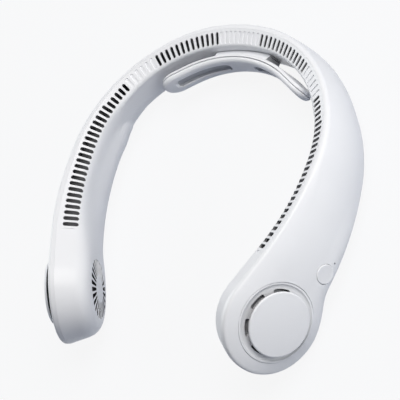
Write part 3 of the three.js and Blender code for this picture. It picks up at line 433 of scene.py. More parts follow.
def bulb_prisms(name, side, across, up, w_low, w_high, material=0):
    """Prisms along a bulb's axis from outlines across and up from the axis, between two depths."""
    u, v = side * (BULB_STATION + across), up - BULB_RADIUS
    return prisms(name, place(u, w_low, v), place(u, w_high, v), material)


both = np.array([-1.0, 1.0])[:, None]
back_slots = BACK_SLOT_FIRST + BACK_SLOT_PITCH * np.arange(BACK_SLOT_COUNT)
back_u = (both * back_slots).ravel()
back_far = -SLOT_MARGIN - BACK_SLOT_LENGTH
arm_step = np.arange(ARM_SLOT_COUNT)
arm_slots = ARM_SLOT_FIRST + arm_step * (ARM_SLOT_PITCH + ARM_PITCH_GROWTH * arm_step)
arm_u = (both * arm_slots).ravel()
short_cut = np.where(arm_step < SHORT_SLOT_COUNT, SHORT_SLOT_CUT, 0.0)
arm_near = np.tile(-SLOT_MARGIN - short_cut, 2)
arm_far = np.tile(-SLOT_MARGIN - np.linspace(*ARM_SLOT_LENGTHS, ARM_SLOT_COUNT), 2)
arm_width = np.tile(np.linspace(*ARM_SLOT_WIDTHS, ARM_SLOT_COUNT), 2)
shoulder_blind = np.linspace(back_slots[-1], arm_slots[0], BLIND_AT_SHOULDER + 2)[1:-1]
middle_blind = np.linspace(-back_slots[0], back_slots[0], BLIND_AT_BACK + 2)[1:-1]
side_blind = np.append(shoulder_blind, arm_slots[-1] + BLIND_AFTER)
blind_u = np.concatenate([(both * side_blind).ravel(), middle_blind])

GRILLE_SLOTS = 24
GRILLE_HUB = 7.7
GRILLE_OPEN = 0.66
GRILLE_POINT = 0.4
GRILLE_CORNER = 0.5


def grille_wedges(side):
    """Wedges round a bulb's axis: a share of the pitch open at each radius, the far end along the grille's
    circle, the near end drawn to a point."""
    spoke = np.arange(GRILLE_SLOTS)[:, None] * 2 * math.pi / GRILLE_SLOTS
    swing = GRILLE_OPEN * math.pi / GRILLE_SLOTS * np.array([-1, -1, -0.5, 0.5, 1, 1, 0])
    near, far = GRILLE_HUB + GRILLE_POINT, GRILLE_RADIUS - GRILLE_CORNER
    r = np.array([near, far, GRILLE_RADIUS, GRILLE_RADIUS, far, near, GRILLE_HUB])
    across, up = r * np.sin(spoke + swing), r * np.cos(spoke + swing)
    face = -inner_depth(BULB_STATION)
    return bulb_prisms("grille_wedges", side, across, up, face - 2 * WALL, face + 3 * WALL)


CLOUD_DETAIL = 2
GRAIN_DETAIL = 3


def skin_group():
    """Node group for moulded plastic: a broad faint cloud in colour and roughness, and a fine grain."""
    group = bpy.data.node_groups.new("moulded_skin", "ShaderNodeTree")
    sockets = [("Colour", "INPUT", "NodeSocketColor"), ("Shade", "INPUT", "NodeSocketColor")]
    sockets += [("Roughness", "INPUT", "NodeSocketFloat"), ("Roughness Spread", "INPUT", "NodeSocketFloat")]
    sockets += [("Cloud Scale", "INPUT", "NodeSocketFloat"), ("Grain Scale", "INPUT", "NodeSocketFloat")]
    sockets += [("Colour", "OUTPUT", "NodeSocketColor"), ("Roughness", "OUTPUT", "NodeSocketFloat")]
    sockets += [("Height", "OUTPUT", "NodeSocketFloat")]
    for name, way, kind in sockets:
        group.interface.new_socket(name, in_out=way, socket_type=kind)
    nodes, links = group.nodes, group.links
    given, made = nodes.new("NodeGroupInput"), nodes.new("NodeGroupOutput")
    place_node = nodes.new("ShaderNodeTexCoord")
    cloud, grain = nodes.new("ShaderNodeTexNoise"), nodes.new("ShaderNodeTexNoise")
    links.new(place_node.outputs["Object"], cloud.inputs["Vector"])
    links.new(place_node.outputs["Object"], grain.inputs["Vector"])
    links.new(given.outputs["Cloud Scale"], cloud.inputs["Scale"])
    links.new(given.outputs["Grain Scale"], grain.inputs["Scale"])
    cloud.inputs["Detail"].default_value = CLOUD_DETAIL
    grain.inputs["Detail"].default_value = GRAIN_DETAIL
    tint = nodes.new("ShaderNodeMix")
    tint.data_type = "RGBA"
    links.new(cloud.outputs["Fac"], tint.inputs["Factor"])
    links.new(given.outputs["Colour"], tint.inputs["A"])
    links.new(given.outputs["Shade"], tint.inputs["B"])
    rough = nodes.new("ShaderNodeMath")
    rough.operation = "MULTIPLY_ADD"
    links.new(cloud.outputs["Fac"], rough.inputs[0])
    links.new(given.outputs["Roughness Spread"], rough.inputs[1])
    links.new(given.outputs["Roughness"], rough.inputs[2])
    links.new(tint.outputs["Result"], made.inputs["Colour"])
    links.new(rough.outputs["Value"], made.inputs["Roughness"])
    links.new(grain.outputs["Fac"], made.inputs["Height"])
    return group


moulded_skin = skin_group()
CLOUD_SCALE = 35
ROUGHNESS_SPREAD = 0.06
GRAIN_DEPTH = 0.0002
SURFACE_GLOSS = 0.3


def moulded(name, colour, shade, roughness, grain=900, bump=0.02, metallic=0.0):
    """A moulded or pressed finish: colour clouded towards a shade, roughness with a spread, a fine grain."""
    material = bpy.data.materials.new(name)
    material.use_nodes = True
    nodes, links = material.node_tree.nodes, material.node_tree.links
    shader = nodes["Principled BSDF"]
    skin = nodes.new("ShaderNodeGroup")
    skin.node_tree = moulded_skin
    skin.inputs["Colour"].default_value = (*colour, 1)
    skin.inputs["Shade"].default_value = (*shade, 1)
    skin.inputs["Roughness"].default_value = roughness
    skin.inputs["Roughness Spread"].default_value = ROUGHNESS_SPREAD
    skin.inputs["Cloud Scale"].default_value = CLOUD_SCALE
    skin.inputs["Grain Scale"].default_value = grain
    height_bump = nodes.new("ShaderNodeBump")
    height_bump.inputs["Strength"].default_value = bump
    height_bump.inputs["Distance"].default_value = GRAIN_DEPTH
    links.new(skin.outputs["Colour"], shader.inputs["Base Color"])
    links.new(skin.outputs["Roughness"], shader.inputs["Roughness"])
    links.new(skin.outputs["Height"], height_bump.inputs["Height"])
    links.new(height_bump.outputs["Normal"], shader.inputs["Normal"])
    shader.inputs["Metallic"].default_value = metallic
    shader.inputs["Specular IOR Level"].default_value = SURFACE_GLOSS
    return material


satin_white = moulded("satin_white", (0.80, 0.81, 0.84), (0.77, 0.78, 0.81), 0.34)
# Mid grey on the shells' inside faces and on the arm and intake slot walls: painted shade where white plastic lies
# in shadow.
painted_shade_lining = moulded("painted_shade_lining", (0.42, 0.425, 0.44), (0.39, 0.395, 0.41), 0.6)


def dress(piece, body, slot, nodes, *materials):
    """Gives a piece its materials, the body it rides on and the solids it stands for. The slot is not used."""
    index = np.zeros(len(piece.data.polygons), np.int32)
    piece.data.polygons.foreach_get("material_index", index)
    piece.data.materials.clear()
    for material in materials:
        piece.data.materials.append(material)
    piece.data.polygons.foreach_set("material_index", index)
    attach(piece, body)
    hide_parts(*nodes)


inner_shell = band_shell("inner_shell_skin", inner_rows)
inner_shell.data.materials.append(satin_white)
inner_shell.data.materials.append(painted_shade_lining)
cut(
    inner_shell,
    slot_pills("back_slots", back_u, -SLOT_MARGIN, back_far, BACK_SLOT_WIDTH, SLOT_DEPTH, 0),
    # The arm slots' cut walls take the grey painted shade; the back and blind slots stay white.
    slot_pills("arm_slots", arm_u, arm_near, arm_far, arm_width, SLOT_DEPTH, 1),
    slot_pills("blind_slots", blind_u, -SLOT_MARGIN, back_far, BACK_SLOT_WIDTH, BLIND_DEPTH, 0),
    grille_wedges(-1),
    grille_wedges(1),
)
dress(inner_shell, "band", "white_shell", ["inner_shell"], satin_white, painted_shade_lining)

# Inside the band: grey duct partitions, foil pouch cells and the sleeved wiring lie in the inner shell, and
# each bulb holds a small motor with its impeller, coloured near black as painted shade behind the grille.
# They are moulded, wound or pressed, held by screws and seats, and keep their imported solids:
# they show only as darkness behind the slots.
# Near black: own colour of the dark plastic parts, and painted shade under the caps and in the pad bracket.
black_and_painted_shade = moulded("black_and_painted_shade", (0.05, 0.051, 0.055), (0.04, 0.041, 0.044), 0.55)
cell_foil = moulded("cell_foil", (0.62, 0.64, 0.67), (0.5, 0.52, 0.55), 0.35, metallic=0.8)
wire_sleeve = moulded("wire_sleeve", (0.025, 0.025, 0.028), (0.015, 0.015, 0.016), 0.7)
board_green = moulded("board_green", (0.03, 0.17, 0.09), (0.02, 0.12, 0.06), 0.4)
plain_steel = moulded("plain_steel", (0.55, 0.56, 0.58), (0.48, 0.49, 0.51), 0.28, metallic=1.0)
bush_bronze = moulded("bush_bronze", (0.45, 0.30, 0.13), (0.38, 0.25, 0.10), 0.42, metallic=1.0)
winding_copper = moulded("winding_copper", (0.45, 0.18, 0.07), (0.38, 0.14, 0.05), 0.35, metallic=0.9)
magnet_grey = moulded("magnet_grey", (0.05, 0.05, 0.055), (0.03, 0.03, 0.034), 0.5, metallic=0.5)
# Near black for the impeller: painted shade seen through the grille.
impeller_painted_shade = moulded("impeller_painted_shade", (0.08, 0.081, 0.086), (0.07, 0.071, 0.075), 0.45)
# Mid grey for the light pipe: partly painted shade, for the dark little hole it sits in.
pipe_painted_shade = moulded("pipe_painted_shade", (0.30, 0.31, 0.33), (0.26, 0.27, 0.29), 0.25)
finishes = {
    "dark_plastic": black_and_painted_shade,
    "cell_foil": cell_foil,
    "cable": wire_sleeve,
    "board": board_green,
    "steel": plain_steel,
    "bush_bronze": bush_bronze,
    "winding": winding_copper,
    "magnet": magnet_grey,
    "pale_impeller": impeller_painted_shade,
    "light_pipe": pipe_painted_shade,
    "white_trim": satin_white,
    "white_shell": satin_white,
    "soft_pad": satin_white,
}
for part in frame["record"]["subparts"]:
    node = frame["nodes"][part["node"]]
    node.data.materials.clear()
    node.data.materials.append(finishes[part["material_slot"]])
duct_grey = moulded("duct_grey", (0.15, 0.152, 0.16), (0.12, 0.122, 0.13), 0.55)
for name in ("left_duct_partition", "right_duct_partition"):
    frame["nodes"][name].data.materials[0] = duct_grey

# Outer shell: the other half of the band, a shallow white moulding with a soft rounded edge.
# It has a round opening over each fan and a hole each for the power button and its light, and clips onto the
# inner shell along the seam.
BUTTON_STATION = 174.0
BUTTON_DOWN = 37.0
BUTTON_RADIUS = 5.5
DISH_RADIUS = 22.4
FIT = 0.22
FACE_CROWN = 0.4
FACE_LOW_ROUNDS = (5.0, 13.0, 10.0)
BACK_TOP_ROUND = 4.0
BACK_LOW_ROUND = 5.0
ARM_EDGE_IN = 0.7
ARM_EDGE_PULL = 0.4
ARM_EDGE_DROP = 3.5
ARM_SWELL = 3.5
ARM_SWELL_DOWN = 0.6
ARM_FOOT = 1.5
ARM_FOOT_SHARE = 0.3
ARM_FOOT_PULL = 0.2
ARM_FOOT_RISE = 0.5
CREASE_FLAT = 0.7
CREASE_CORNER = 0.88
CREASE_DROP = 0.9
UPPER_CREASE = 0.72
LOWER_CREASE = 0.47
BULB_BROW_SHARE = 0.65
BULB_BROW_PULL = 5.5
BULB_BROW_DROP = 12.0
WAIST_ROUND = 8.0
WAIST_ROUND_RISE = (177.0, 192.0)
ON_ARM = (20.0, 70.0)
ON_BULB = (125.0, 165.0)
FLAT_ROWS = 3
CREASE_ROWS = 6
BROW_ROWS = 10
EDGE_ROWS = FLAT_ROWS + CREASE_ROWS + BROW_ROWS
FACE_ROWS = 25
FOOT_ROWS = 9
LONG_ROWS = FACE_ROWS + EDGE_ROWS - FOOT_ROWS


def creased(seam, bend, depth):
    """Edge of the outer face at the bulb, outward and upward places: flat from the seam, a crease at the
    bend, then a long rounding to the full depth."""
    flat = np.linspace(0, 1, FLAT_ROWS + 1)[:-1]
    crease = np.linspace(0, 1, CREASE_ROWS + 1)[:-1]
    brow = np.linspace(0, 1, BROW_ROWS)
    flat_end = CREASE_FLAT * bend
    w = [mix(seam, flat_end, flat), bezier(flat_end, CREASE_CORNER * bend, bend, crease)]
    w += [bezier(bend, mix(bend, depth, BULB_BROW_SHARE), depth, brow)]
    v = [0 * flat, bezier(0, 0, -CREASE_DROP, crease)]
    v += [bezier(-CREASE_DROP, -BULB_BROW_PULL, -BULB_BROW_DROP, brow)]
    return np.concatenate(w, 1), np.concatenate(v) + 0 * depth


def outer_rows(stations, inset):
    """Section from the upper seam round the outer face to the lower seam, of Bezier curves. At the back two
    soft edges and a crowned face; on the arms a top edge, one long curve and a small lower edge; at the bulbs
    a crease and a long rounding above, and below a soft edge that becomes a nearer crease round the end."""
    u = stations[:, None]
    s = np.abs(u)
    depth = outer_depth(u) - inset
    top = 0 * u - inset
    low = inset - height(u)
    gap, low_gap = seam_places(u, SEAM_GAP / 2)
    curve = np.linspace(0, 1, EDGE_ROWS)
    face = np.linspace(0, 1, FACE_ROWS + 2)[1:-1]
    crowned = depth + FACE_CROWN * (1 - (2 * face - 1) ** 2)

    back_top = top - BACK_TOP_ROUND
    back_low = low + BACK_LOW_ROUND
    back_w = [bezier(gap, depth, depth, curve), crowned, bezier(depth, depth, low_gap, curve)]
    back_v = [bezier(top, top, back_top, curve), mix(back_top, back_low, face)]
    back_v += [bezier(back_low, low, low, curve)]

    edge_w = depth - ARM_EDGE_IN
    edge_v = top - ARM_EDGE_DROP
    foot_w = np.minimum(ARM_FOOT, ARM_FOOT_SHARE * depth)
    foot_v = low + ARM_FOOT_RISE
    long = np.linspace(0, 1, LONG_ROWS + 1)[1:]
    short = np.linspace(0, 1, FOOT_ROWS + 1)[1:]
    arm_w = [bezier(gap, edge_w - ARM_EDGE_PULL, edge_w, curve)]
    arm_w += [bezier(edge_w, edge_w + ARM_SWELL, foot_w, long)]
    arm_w += [bezier(foot_w, foot_w - ARM_FOOT_PULL, low_gap, short)]
    arm_v = [bezier(top, top, edge_v, curve), bezier(edge_v, ARM_SWELL_DOWN * low, foot_v, long)]
    arm_v += [bezier(foot_v, low, low, short)]

    brow_w, brow_v = creased(gap, UPPER_CREASE * depth, depth)
    end_w, end_v = creased(low_gap, LOWER_CREASE * depth, depth)
    low_round = along(u, *FACE_LOW_ROUNDS) + WAIST_ROUND * ease(s, *WAIST_ROUND_RISE)
    round_end = ease(s, BULB_TURN, BULB_STATION)
    low_w = mix(bezier(depth, depth, low_gap, curve), end_w[:, ::-1], round_end)
    low_v = low + mix(bezier(low_round, 0, 0, curve), -end_v[:, ::-1], round_end)
    bulb_w = [brow_w, crowned, low_w]
    bulb_v = [top + brow_v, mix(top - BULB_BROW_DROP, low_v[:, :1], face), low_v]

    on_arm = ease(s, *ON_ARM)
    on_bulb = ease(s, *ON_BULB)
    w = mix(np.concatenate(back_w, 1), np.concatenate(arm_w, 1), on_arm)
    v = mix(np.concatenate(back_v, 1), np.concatenate(arm_v, 1), on_arm)
    return mix(w, np.concatenate(bulb_w, 1), on_bulb), mix(v, np.concatenate(bulb_v, 1), on_bulb)


def button_pose():
    """Frame on the outer face at the button: the point, along the band, up the surface and out of it, in the
    row frame. The face's lower rounding is w = depth (1 - t^2), v = low + round (1 - t)^2."""
    low = -height(BUTTON_STATION)
    low_round = along(BUTTON_STATION, *FACE_LOW_ROUNDS)
    depth = outer_depth(BUTTON_STATION)
    t = max(1 - math.sqrt(max(-BUTTON_DOWN - low, 0) / low_round), 0)
    _, out, up = seam_frame(BUTTON_STATION)
    lean = math.atan2(depth * t, low_round * (1 - t))
    normal = TURN @ (out * math.cos(lean) - up * math.sin(lean))
    across = TURN @ np.cross(up, out)
    return place(BUTTON_STATION, depth * (1 - t * t), -BUTTON_DOWN), across, np.cross(normal, across), normal


def round_prism(name, radius, pose, z_low, z_high, centre=(0, 0), segments=48):
    """A cylinder on a pose, between two heights."""
    origin, x_axis, y_axis, z_axis = pose
    a = np.linspace(0, 2 * math.pi, segments, endpoint=False)[:, None]
    flat = (centre[0] + radius * np.cos(a)) * x_axis + (centre[1] + radius * np.sin(a)) * y_axis
    low, high = origin + (flat + z_low * z_axis) * MM, origin + (flat + z_high * z_axis) * MM
    return prisms(name, low[None], high[None])


DISH_SIDES = 96
HOLE_FROM = 0.5
HOLE_TO = 20.0
SMALL_HOLE_REACH = 3.0
LIGHT_AHEAD = 8.0
LIGHT_BELOW = 1.6
LIGHT_RADIUS = 0.55
LIGHT_SIDES = 24
circle = np.linspace(0, 2 * math.pi, DISH_SIDES + 1)[None, :-1]
hole_across, hole_up = (DISH_RADIUS + FIT) * np.sin(circle), (DISH_RADIUS + FIT) * np.cos(circle)
button_place = button_pose()
light_place = (LIGHT_AHEAD, -LIGHT_BELOW)
small_hole = (button_place, -SMALL_HOLE_REACH, SMALL_HOLE_REACH)
outer_shell = band_shell("outer_shell_skin", outer_rows)
outer_shell.data.materials.append(satin_white)
outer_shell.data.materials.append(painted_shade_lining)
cut(
    outer_shell,
    bulb_prisms("left_dish_hole", 1, hole_across, hole_up, HOLE_FROM, HOLE_TO),
    bulb_prisms("right_dish_hole", -1, hole_across, hole_up, HOLE_FROM, HOLE_TO),
    round_prism("button_hole", BUTTON_RADIUS + FIT, *small_hole),
    round_prism("light_hole", LIGHT_RADIUS, *small_hole, light_place, LIGHT_SIDES),
)
dress(outer_shell, "band", "white_shell", ["outer_shell"], satin_white, painted_shade_lining)

# Charging port: a pressed steel socket, soldered to the board, in the lower rim of the inner shell under the
# power button. The rim is cut through for it, four sides round the socket's mouth.
PORT_HALF = 4.67
PORT_LOW = -9.84
PORT_HIGH = -6.2
PORT_REACH = 7.0
PORT_INSET = 0.8
port_mouth = BUTTON_DOWN + PORT_INSET - height(BUTTON_STATION)
port_x = np.array([-PORT_HALF, PORT_HALF, PORT_HALF, -PORT_HALF])
port_y = port_mouth + np.array([-PORT_REACH, -PORT_REACH, PORT_REACH, PORT_REACH])
port_flat = port_x[:, None] * button_place[1] + port_y[:, None] * button_place[2]
port_ends = [button_place[0] + (port_flat + z * button_place[3]) * MM for z in (PORT_LOW, PORT_HIGH)]
cut(inner_shell, prisms("port_opening", port_ends[0][None], port_ends[1][None]))

# Intake dishes: a ring let into the outer shell over each fan, with a stepped edge, a hollow slope and arc
# slots over a ledge in its floor. Moulded in the same white plastic, held by a flange behind the shell.
DISH_FLOOR = 5.9
DISH_UNDER = 4.5
DISH_MIDDLE = 10.0
DISH_FOOT = 19.4
DISH_SLOPE = 20.6
DISH_INSIDE = 21.0
DISH_LAND = 21.2
DISH_RIM = 6.7
RIM_STEP = 0.15
RIM_EDGE = 0.25
FLANGE_REACH = 2.0
FLANGE_TOP = 4.0
FLANGE_LOW = 2.9
COLLAR_OUTER = 17.3
COLLAR_INNER = 15.9
COLLAR_LOW = 2.4
SLOPE_STEPS = 9


def turned(name, profile, pose, segments=DISH_SIDES, second=0):
    """A profile of (radius, height) points from axis to axis, turned about the pose's last axis. The last few
    rows, second in number, take the second material."""
    origin, x_axis, y_axis, z_axis = pose
    a = np.linspace(0, 2 * math.pi, segments, endpoint=False)
    r, z = profile[1:-1, 0, None, None], profile[:, 1, None, None]
    ring = r * (np.cos(a)[:, None] * x_axis + np.sin(a)[:, None] * y_axis) + z[1:-1] * z_axis
    poles = (z[[0, -1], 0] * z_axis).reshape(2, 3)
    grid = np.arange(ring.shape[0] * segments).reshape(-1, segments)
    grid = np.hstack([grid, grid[:, :1]])
    first = np.full(segments, ring.shape[0] * segments)
    caps = [np.stack([first, grid[0, 1:], grid[0, :-1]], -1)]
    caps += [np.stack([first + 1, grid[-1, :-1], grid[-1, 1:]], -1)]
    points = origin + np.concatenate([ring.reshape(-1, 3), poles]) * MM
    under = np.repeat(np.arange(len(grid) - 1) >= len(grid) - second, segments)
    under = np.concatenate([under, np.zeros(segments, bool), np.full(segments, second > 0)])
    return make_piece(name, points, [quads(grid)[:, ::-1], *caps], under.astype(int))


def bulb_pose(side):
    """Point on the fan's axis at the seam, and the across, up and outward directions, in the row frame."""
    _, out, up = seam_frame(side * BULB_STATION)
    out, up = TURN @ out, TURN @ up
    return place(side * BULB_STATION, 0, -BULB_RADIUS), np.cross(up, out), up, out


def rounded(corner, radius, start, end, steps=6):
    """Points of a rounded corner, from an angle to an angle in degrees about the corner's centre."""
    a = np.radians(np.linspace(start, end, steps))
    return np.stack([corner[0] + radius * np.cos(a), corner[1] + radius * np.sin(a)], -1)


def dish_profile():
    """Floor, hollow slope, the flat rim with rounded edges, the flange behind the shell, and a collar under
    the floor inside the slots."""
    t = np.linspace(0, 1, SLOPE_STEPS)[:, None]
    floor = [[0, DISH_FLOOR], [DISH_MIDDLE, DISH_FLOOR]]
    foot, head = np.array([DISH_FOOT, DISH_FLOOR]), np.array([DISH_LAND, DISH_RIM - RIM_STEP])
    slope = bezier(foot, np.array([DISH_SLOPE, DISH_FLOOR]), head, t)
    land = [[DISH_LAND + RIM_STEP, DISH_RIM]]
    rim = rounded((DISH_RADIUS - RIM_EDGE, DISH_RIM - RIM_EDGE), RIM_EDGE, 90, 0)
    flange_radius = DISH_RADIUS + FLANGE_REACH
    back = [[DISH_RADIUS, FLANGE_TOP], [flange_radius, FLANGE_TOP], [flange_radius, FLANGE_LOW]]
    back += [[DISH_INSIDE, FLANGE_LOW], [DISH_INSIDE, DISH_UNDER]]
    collar = [[COLLAR_OUTER, DISH_UNDER], [COLLAR_OUTER, COLLAR_LOW]]
    collar += [[COLLAR_INNER, COLLAR_LOW], [COLLAR_INNER, DISH_UNDER]]
    under = [[DISH_MIDDLE, DISH_UNDER], [0, DISH_UNDER]]
    return np.concatenate([floor, slope, land, rim, back, collar, under])


INTAKE_SLOTS = 7
INTAKE_PHASE = math.radians(-7)
INTAKE_INNER = 16.1
INTAKE_OUTER = 18.5
INTAKE_ARC = math.radians(32)
INTAKE_CORNER = 1.0
INTAKE_LEDGE = 3.4
INTAKE_ABOVE = 7.5
INTAKE_STEPS = 9
CORNER_STEPS = 4


def intake_slots(side):
    """Arc slots: the outer and inner circles over an angle, with rounded corners on the outer one."""
    middle = INTAKE_PHASE + np.arange(INTAKE_SLOTS)[:, None] * 2 * math.pi / INTAKE_SLOTS
    r_mid = (INTAKE_INNER + INTAKE_OUTER) / 2
    swing = INTAKE_ARC / 2
    t = np.linspace(-1, 1, INTAKE_STEPS)
    q = np.linspace(0, math.pi / 2, CORNER_STEPS)[1:-1]
    corner_foot = INTAKE_OUTER - INTAKE_CORNER
    r = np.concatenate([INTAKE_OUTER + 0 * t, corner_foot + INTAKE_CORNER * np.cos(q), [corner_foot]])
    turn = swing - INTAKE_CORNER * (1 - np.sin(q)) / r_mid
    a = np.concatenate([(swing - INTAKE_CORNER / r_mid) * t, turn, [swing]])
    r = np.concatenate([r, INTAKE_INNER + 0 * t, r[: INTAKE_STEPS - 1 : -1]])
    a = np.concatenate([a, swing * t[::-1], -a[: INTAKE_STEPS - 1 : -1]])
    across, up = r * np.sin(middle + a), r * np.cos(middle + a)
    # The slot walls take the second material, the grey painted shade.
    return bulb_prisms("intake_slots", side, across, up, INTAKE_LEDGE, INTAKE_ABOVE, 1)


for side, name in ((1, "left"), (-1, "right")):
    dish = turned(name + "_intake_dish_ring", dish_profile(), bulb_pose(side))
    dish.data.materials.append(satin_white)
    dish.data.materials.append(painted_shade_lining)
    cut(dish, intake_slots(side))
    dress(dish, "band", "white_trim", [name + "_intake_dish"], satin_white, painted_shade_lining)

# Intake caps: a white moulded disc with a softened edge, its underside painted near black as shade, pressed
# onto the dish by a short boss, so that air enters all round it.
CAP_RADIUS = 18.1
CAP_TOP = 11.2
CAP_UNDER = 9.3
CAP_DOME = 0.9
CAP_CROWN = 0.3
CAP_FLAT = 1.0
CAP_EDGE = 0.9
CAP_EDGE_ANGLE = 84
CAP_LOW_EDGE = 0.5
CAP_SHADE_ROWS = 3
CAP_STEPS = 13
CAP_EDGE_STEPS = 9
BOSS_RADIUS = 6.4
BOSS_FOOT = 6.15


def cap_profile():
    """Low domed top, a rounded edge, the underside and the boss."""
    r = np.linspace(0, CAP_RADIUS - CAP_FLAT, CAP_STEPS)
    top = np.stack([r, CAP_TOP + CAP_CROWN - CAP_DOME * (r / CAP_RADIUS) ** 2], -1)
    edge_centre = (CAP_RADIUS - CAP_EDGE, top[-1, 1] - CAP_EDGE)
    edge = rounded(edge_centre, CAP_EDGE, CAP_EDGE_ANGLE, 0, CAP_EDGE_STEPS)
    under = rounded((CAP_RADIUS - CAP_LOW_EDGE, CAP_UNDER + CAP_LOW_EDGE), CAP_LOW_EDGE, 0, -90)
    boss = np.array([[BOSS_RADIUS, CAP_UNDER], [BOSS_RADIUS, BOSS_FOOT], [0, BOSS_FOOT]])
    return np.concatenate([top, edge, under, boss])


for side, name in ((1, "left"), (-1, "right")):
    # The underside rows take the near black as painted shade.
    cap = turned(name + "_intake_cap_disc", cap_profile(), bulb_pose(side), second=CAP_SHADE_ROWS)
    dress(cap, "band", "white_trim", [name + "_intake_cap"], satin_white, black_and_painted_shade)

# Power button: a white moulded disc a little proud of the left arm, with a softened rim.
# It sits loose in its hole, on a stem over its switch, whose spring lifts it.
BUTTON_PROUD = 0.3
BUTTON_FLAT = 0.7
BUTTON_HOLLOW = 0.12
BUTTON_EDGE = 0.5
BUTTON_EDGE_ANGLE = 85
BUTTON_SKIRT = 1.5
BUTTON_SIDES = 64
BUTTON_STEPS = 7
STEM_RADIUS = 1.6
STEM_FOOT = 2.6


def button_profile():
    """A faintly dished top, a rounded rim, the skirt and the stem."""
    r = np.linspace(0, BUTTON_RADIUS - BUTTON_FLAT, BUTTON_STEPS)
    top = np.stack([r, BUTTON_PROUD - BUTTON_HOLLOW * (1 - (r / BUTTON_RADIUS) ** 2)], -1)
    rim_centre = (BUTTON_RADIUS - BUTTON_EDGE, BUTTON_PROUD - BUTTON_EDGE)
    rim = rounded(rim_centre, BUTTON_EDGE, BUTTON_EDGE_ANGLE, 0)
    skirt = [[BUTTON_RADIUS, -BUTTON_SKIRT], [STEM_RADIUS, -BUTTON_SKIRT]]
    stem = [[STEM_RADIUS, -STEM_FOOT], [0, -STEM_FOOT]]
    return np.concatenate([top, rim, skirt, stem])


button = turned("power_button_disc", button_profile(), button_place, BUTTON_SIDES)
dress(button, "button", "white_trim", ["power_button"], satin_white)

# Neck pad: a curved white plate on a bracket block, faced with a soft pale grey silicone cushion that has two
# pill-shaped recesses. Plate and block are moulded, the cushion is cast, and two screws go through the block
# into the inner shell.
PAD_RADIUS = 64.0
PAD_ARC = 36.8
PAD_LENGTH = 54.0
PAD_FORWARD = 14.4
PAD_TOP = -6.7
PAD_HALF = 9.1
PAD_MIDDLE = PAD_TOP - PAD_HALF
PAD_TIP_STEPS = 13
PAD_LONG_STEPS = 271
PAD_HIGH_STEPS = 71


def pad_point(x, depth, z):
    """Row-frame point on the pad: x along an arc with straight tails, depth in front of the leaning plate, z
    up, in millimetres."""
    x, depth, z = np.broadcast_arrays(np.asarray(x, float), depth, z)
    turn = np.minimum(np.abs(x), PAD_ARC) / PAD_RADIUS
    tail = np.maximum(np.abs(x) - PAD_ARC, 0)
    reach = PAD_RADIUS - depth + math.tan(LEAN_BACK) * (PAD_TOP - z)
    across = reach * np.sin(turn) + tail * np.cos(turn)
    y = reach * np.cos(turn) - tail * np.sin(turn) - PAD_FORWARD - PAD_RADIUS
    return to_row(np.stack([np.sign(x) * across, y, z], -1))


def pill_distance(x, z, centre, half_length, half_height):
    """Distance inwards from a pill's outline, negative outside it."""
    return half_height - np.hypot(np.maximum(np.abs(x - centre) - (half_length - half_height), 0), z)


def pad_bar(name, half_length, half_height, front, back, painted_shade_where=None):
    """A closed bar on the pad's arc with round ends: columns across it that shorten to the ends, each going
    up the front at depth front(x, z) and down the back at depth back(x, z). Front faces where marked(x, z) is
    above 0 take the second material."""
    end = half_length - half_height
    tip = np.linspace(0, math.pi / 2, PAD_TIP_STEPS)[1:-1]
    middle = np.linspace(-end, end, PAD_LONG_STEPS)
    x = np.concatenate([-end - half_height * np.cos(tip), middle, end + half_height * np.sin(tip)])
    tall = np.sqrt(np.maximum(half_height**2 - np.maximum(np.abs(x) - end, 0) ** 2, 0))
    t = np.sin(np.linspace(-math.pi / 2, math.pi / 2, PAD_HIGH_STEPS))
    z = tall[:, None] * t
    x = x[:, None]
    front_points = pad_point(x, front(x, z), PAD_MIDDLE + z)
    back_points = pad_point(x, back(x, z), PAD_MIDDLE + z)
    column = np.concatenate([front_points, back_points[:, ::-1]], 1)
    tips = np.array([[-half_length, 0.0], [half_length, 0.0]])
    tip_depth = (front(tips[:, :1], tips[:, 1:]) + back(tips[:, :1], tips[:, 1:])) / 2
    tip_points = pad_point(tips[:, :1], tip_depth, PAD_MIDDLE)[:, 0]
    size = column.shape[1]
    grid = np.arange(column.shape[0] * size).reshape(-1, size)
    grid = np.hstack([grid, grid[:, :1]])
    pole = np.full(size, column.shape[0] * size)
    caps = [np.stack([pole, grid[0, :-1], grid[0, 1:]], -1)]
    caps += [np.stack([pole + 1, grid[-1, 1:], grid[-1, :-1]], -1)]
    points = np.concatenate([column.reshape(-1, 3), tip_points])
    second = np.zeros((len(x) - 1, size), int)
    if painted_shade_where is not None:
        second[:, : len(t) - 1] = painted_shade_where((x[1:] + x[:-1]) / 2, (z[1:, 1:] + z[:-1, :-1]) / 2) > 0
    second = np.append(second.ravel(), np.zeros(2 * size, int))
    return make_piece(name, points, [quads(grid), *caps], second)


PLATE_THICK = 1.8
PLATE_EDGE = 0.5
PLATE_ROUND = 1.2
CUSHION_THICK = 3.5
CUSHION_CROWN = 0.9
CUSHION_SEAT = 0.3
CUSHION_RIM = 0.9
CUSHION_RIM_LESS = 0.6
CUSHION_ROUND = 2.6
GROOVE_DEPTH = 0.8
GROOVE_ROUND = 1.4
RECESS_MIDDLE = 27.05
RECESS_HALF = 18.25
RECESS_HEIGHT = 6.0
RECESS_DEPTH = 2.2
RECESS_LIP = 1.6
RECESS_LOW_LIP = 0.3
RECESS_WALL = 0.9


def rim_round(d, radius):
    """Share of the full depth at a distance d in from the outline: a quarter circle of the radius."""
    return np.sqrt(np.clip(1 - (1 - np.clip(d / radius, 0, 1)) ** 2, 0, 1))


def recess(x, z):
    """Distance inwards from the nearer recess's outline."""
    return pill_distance(np.abs(x), z, RECESS_MIDDLE, RECESS_HALF, RECESS_HEIGHT / 2)


